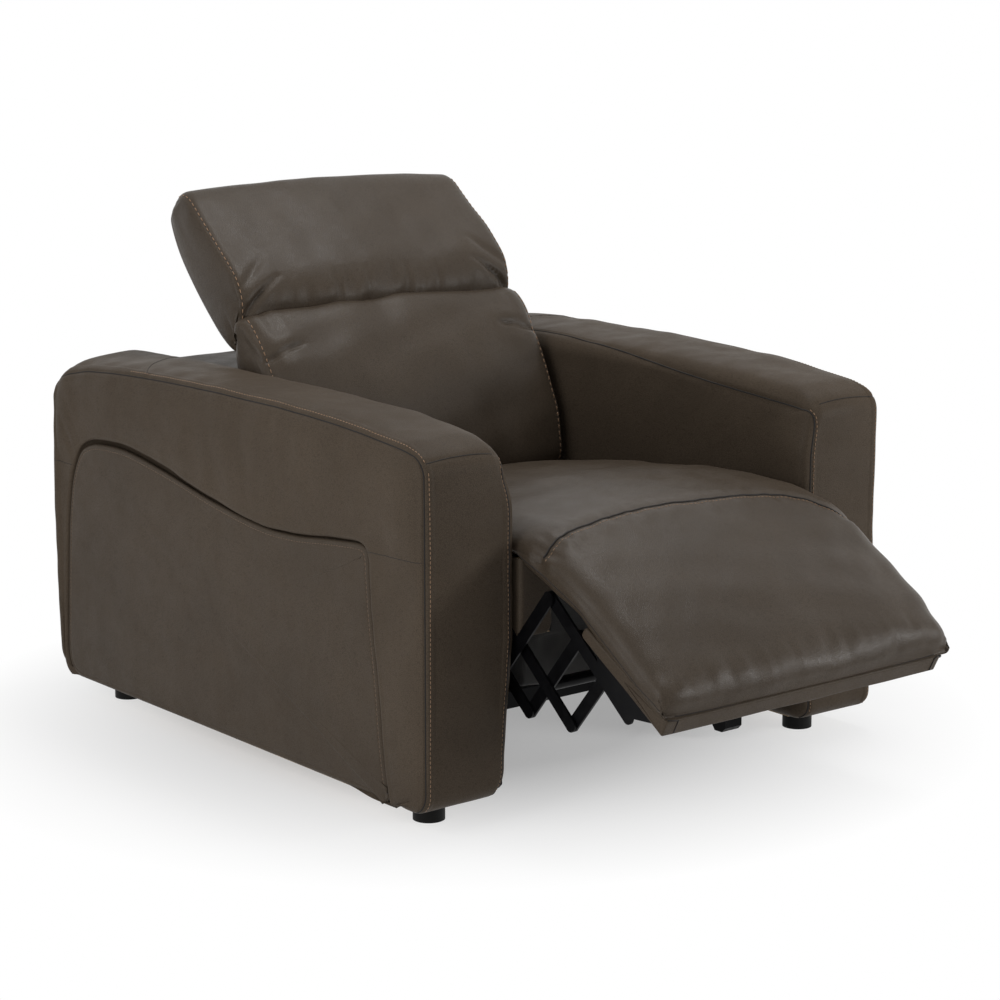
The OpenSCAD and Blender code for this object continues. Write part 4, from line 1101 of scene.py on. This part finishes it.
def rounded(corners, counts):
    """Closed outline through (y, z, radius) corners, walked forward along its bottom."""
    flat = np.array([c[:2] for c in corners], float)
    t = np.linspace(0, 1, 8)[:, None]
    turns = []
    for k, (_, _, radius) in enumerate(corners):
        before, here, after = flat[k - 1], flat[k], flat[(k + 1) % len(flat)]
        back, ahead = unit(before - here), unit(after - here)
        cut = radius / math.tan(math.acos(np.clip(back @ ahead, -1, 1)) / 2)
        start, end = here + back * cut, here + ahead * cut
        turns.append(start * (1 - t) ** 2 + here * 2 * t * (1 - t) + end * t**2)
    pieces = []
    for turn, following, count in zip(turns, turns[1:] + turns[:1], counts):
        pieces += [turn, line(turn[-1], following[0], count + 1)[1:]]
    return np.concatenate(pieces)


def make_board():
    """The leather-wrapped board under the footrest pad, with its sewn corners."""
    corners = [(86, 6, 7), (303.5, 14, 3), (299.5, 41.5, 3), (86, 24, 6)]
    outline = rounded([(*footrest((along, out)), radius) for along, out, radius in corners], (44, 5, 44, 5))
    skin = wrapped(outline, BOARD_HALF, 3.5, 0.5, 51)
    draw_in(skin.grid, FOOTREST.measure(skin.grid)[0], BOARD_DRAWN)
    # Painted shade: dark tubes along the sewn corners stand in for their seam shadow
    dark = Pile()
    for end, reach in ((-290, -20), (266, 9)):
        for start, stop, turn in (((303.5, 17), (300, 42), 0), ((300.5, 41), (297, 43), reach)):
            dark.add(*tube([(end, *footrest(start)), (end + turn, *footrest(stop))], 0.8))
    dark.build("footrest_board_seam_shade", SEAM_SHADE_LOOK, "footrest")
    skin.build("footrest_board_leather", "leather_panel", "footrest", "footrest_board")


def make_cover():
    """The leather cover round the back's frame, which is the chair's rear."""
    rear, low, top, half_width = COVER_HIGH[1], COVER_LOW[2], COVER_HIGH[2], COVER_HIGH[0]
    corners = [(rear, low, 14), (200, low, 10), (170, 335, 10), (234, 592, 8), (262, top, 6),
               (rear, top, 22)]
    skin = wrapped(rounded(corners, (40, 14, 36, 6, 30, 50)), half_width, 12, 2.0, 52)
    skin.build("back_cover_leather", "leather_panel", "back", "back_cover")
    welt = Pile()
    xs = np.linspace(12 - half_width, half_width - 12, 40)
    welt.add(*tube(at_x(xs, np.full((40, 2), (rear - 8, top - 6.0))), 4.5, 8))
    welt.build("back_cover_welt", LOOKS["black_cloth"], "back")


def make_facing(side, name):
    """The leather at a front corner of the seat's frame, with a rounded inner lower corner."""
    low, high = span(f"seat_facing_{name}")
    inner, outer = sorted(np.abs((low[0], high[0])))
    outer, front, bottom, top = outer + 2.6, low[1], low[2], high[2]
    bend, corner, inner_steps = 7, 14, 14
    path = np.concatenate([
        line((inner, front), (outer - bend, front), inner_steps),
        arc((outer - bend, front + bend), bend, -90, 0, 8),
        line((outer, front + bend), (outer, front + 66), 12), [(outer, front + 66)]])
    ahead = unit(np.gradient(path, axis=0))
    out = np.stack([ahead[:, 1], -ahead[:, 0]], -1)
    turn = np.linspace(0, 2 * math.pi, 72, endpoint=False)
    across = np.abs(np.cos(turn)) ** 0.3 * np.sign(np.cos(turn))
    upright = np.abs(np.sin(turn)) ** 0.12 * np.sign(np.sin(turn))
    rings = []
    for k, (place, normal) in enumerate(zip(path, out)):
        from_end = max(1 - (place[0] - inner) / corner, 0) if k < inner_steps else 0.0
        foot = bottom + corner * (1 - math.sqrt(1 - from_end**2))
        thick = 9.5 - 7.6 * float(smooth_step(k, 12, 22))
        spot = place + normal * (across * thick / 2 - thick / 2)[:, None]
        height = (foot + top) / 2 + (top - foot) / 2 * upright
        rings.append(np.stack([side * spot[:, 0], spot[:, 1], height], -1))
    skin = Skin(rings)
    skin.swell(0.5 * waves(skin.grid, 70, 61))
    skin.build(f"seat_corner_leather_{name}", "leather_panel", "seat", f"seat_facing_{name}")


def make_dust_cloth():
    """Black cloth that hangs under the front of the seat and hides its drive."""
    front, low, high, half_width = SEAT_FRAME_LOW[1] + 18, 206, SEAT_FRAME_LOW[2] + 2, 286
    rear = front + 420
    corners = [(rear, high - 30, 8), (front, low, 16), (front - 4, high, 3), (rear, high, 3)]
    skin = wrapped(rounded(corners, (40, 12, 40, 4)), half_width, 6, 0, 71)
    x, y, z = skin.grid[..., 0], skin.grid[..., 1], skin.grid[..., 2]
    sag = 10 * bell(y, front + 60, 120) * np.cos(x / half_width * math.pi / 2)
    skin.grid[..., 2] -= sag * (z < high - 20)
    skin.swell(1.2 * waves(skin.grid, 90, 72) * (z < high - 12))
    skin.build("seat_dust_cloth", "black_cloth", "seat")


# CAD nodes that stay

# Width of a bevelled edge in millimetres and its segments
SHARP_EDGE, SOFT_EDGE = (0.6, 2), (2.5, 3)
SOFT_NODES = ("seat_front_panel",)


def finish_nodes():
    """Gives each CAD node the material of its slot and takes the sharpness off its edges."""
    for part in frame["record"]["subparts"]:
        node = part["node"]
        made = frame["nodes"][node]
        made.data.materials.clear()
        made.data.materials.append(LOOKS[part["material_slot"]])
        if made.hide_render:
            continue
        edge = made.modifiers.new("edge", "BEVEL")
        width, edge.segments = SOFT_EDGE if node in SOFT_NODES else SHARP_EDGE
        edge.width = width * MM
        edge.limit_method = "ANGLE"
        edge.angle_limit = math.radians(35)


# Stage, light and camera, in metres, degrees and watts

CAMERA_PLACE = (-2.90314, -3.71937, 1.37295)
CAMERA_TILT, CAMERA_TURN = 78.224, -38.926
LENS = 97.24
WORLD_LIGHT, WORLD_SEEN = 0.24, 1.0
GLOW_NEAR, GLOW_FAR, GLOW_LEAST = 0.35, 0.95, 0.35
# Place, target, size and power of each lamp
LAMPS = {
    "key": ((-2.5, -0.5, 1.2), (-0.3, 0.0, 0.3), 1.5, 29),
    "top": ((0.5, -0.2, 3.1), (0, 0, 0.4), 0.8, 32),
    "right": ((1.9, -2.6, 0.9), (0.2, -0.8, 0.4), 0.6, 33),
}


def seen_directly(tree):
    """1 for rays that see the background itself: straight, in a reflection or through glass."""
    rays = add_node(tree, "ShaderNodeLightPath").outputs
    total = rays["Is Camera Ray"]
    for ray in ("Is Glossy Ray", "Is Transmission Ray"):
        total = add_node(tree, "ShaderNodeMath", {0: total, 1: rays[ray]}, operation="MAXIMUM").outputs[0]
    return total


def make_stage():
    """A white floor that keeps the chair's shadow, under a white world."""
    world = bpy.data.worlds.new("studio")
    bpy.context.scene.world = world
    world.use_nodes = True
    tree = world.node_tree
    strength = add_node(tree, "ShaderNodeMapRange", {"Value": seen_directly(tree), "To Min": WORLD_LIGHT,
                                                     "To Max": WORLD_SEEN})
    tree.nodes["Background"].inputs["Color"].default_value = (1, 1, 1, 1)
    tree.links.new(strength.outputs[0], tree.nodes["Background"].inputs["Strength"])
    bpy.ops.mesh.primitive_grid_add(x_subdivisions=8, y_subdivisions=8, size=14, location=(0, 0, 0))
    floor = bpy.context.object
    floor.name = "floor"
    look = Look("white_floor", (0.86, 0.86, 0.86), 0.9)
    glow = look.add("ShaderNodeEmission", {"Color": (1, 1, 1, 1), "Strength": 1.0})
    place = look.add("ShaderNodeNewGeometry").outputs["Position"]
    far = look.add("ShaderNodeVectorMath", {0: place}, operation="LENGTH").outputs["Value"]
    away = look.ramp(far, GLOW_NEAR, GLOW_FAR, GLOW_LEAST, 1.0)
    both = look.add("ShaderNodeMath", {0: away, 1: seen_directly(look.tree)}, operation="MULTIPLY")
    mix = look.add("ShaderNodeMixShader", {0: both.outputs[0], 1: look.shader.outputs[0],
                                           2: glow.outputs[0]})
    look.tree.links.new(mix.outputs[0], look.tree.nodes["Material Output"].inputs["Surface"])
    floor.data.materials.clear()
    floor.data.materials.append(look.material)


def make_lamps():
    for name, (place, target, size, power) in LAMPS.items():
        lamp = bpy.data.lights.new(name, "AREA")
        lamp.size, lamp.energy = size, power
        made = bpy.data.objects.new(name, lamp)
        made.location = place
        x, y, z = np.array(target) - np.array(place)
        made.rotation_euler = (math.atan2(math.hypot(x, y), -z), 0, math.atan2(y, x) - math.pi / 2)
        bpy.context.collection.objects.link(made)


def make_camera():
    data = bpy.data.cameras.new("camera")
    data.lens = LENS
    camera = bpy.data.objects.new("camera", data)
    camera.location = CAMERA_PLACE
    camera.rotation_euler = (math.radians(CAMERA_TILT), 0, math.radians(CAMERA_TURN))
    bpy.context.collection.objects.link(camera)
    bpy.context.scene.camera = camera


make_camera()
for side, name in ((-1, "right"), (1, "left")):
    make_arm(side, name)
    make_facing(side, name)
make_chaise()
make_back()
make_headrest()
make_board()
make_cover()
make_dust_cloth()
finish_nodes()
make_stage()
make_lamps()
bpy.context.scene.view_settings.view_transform = "Standard"
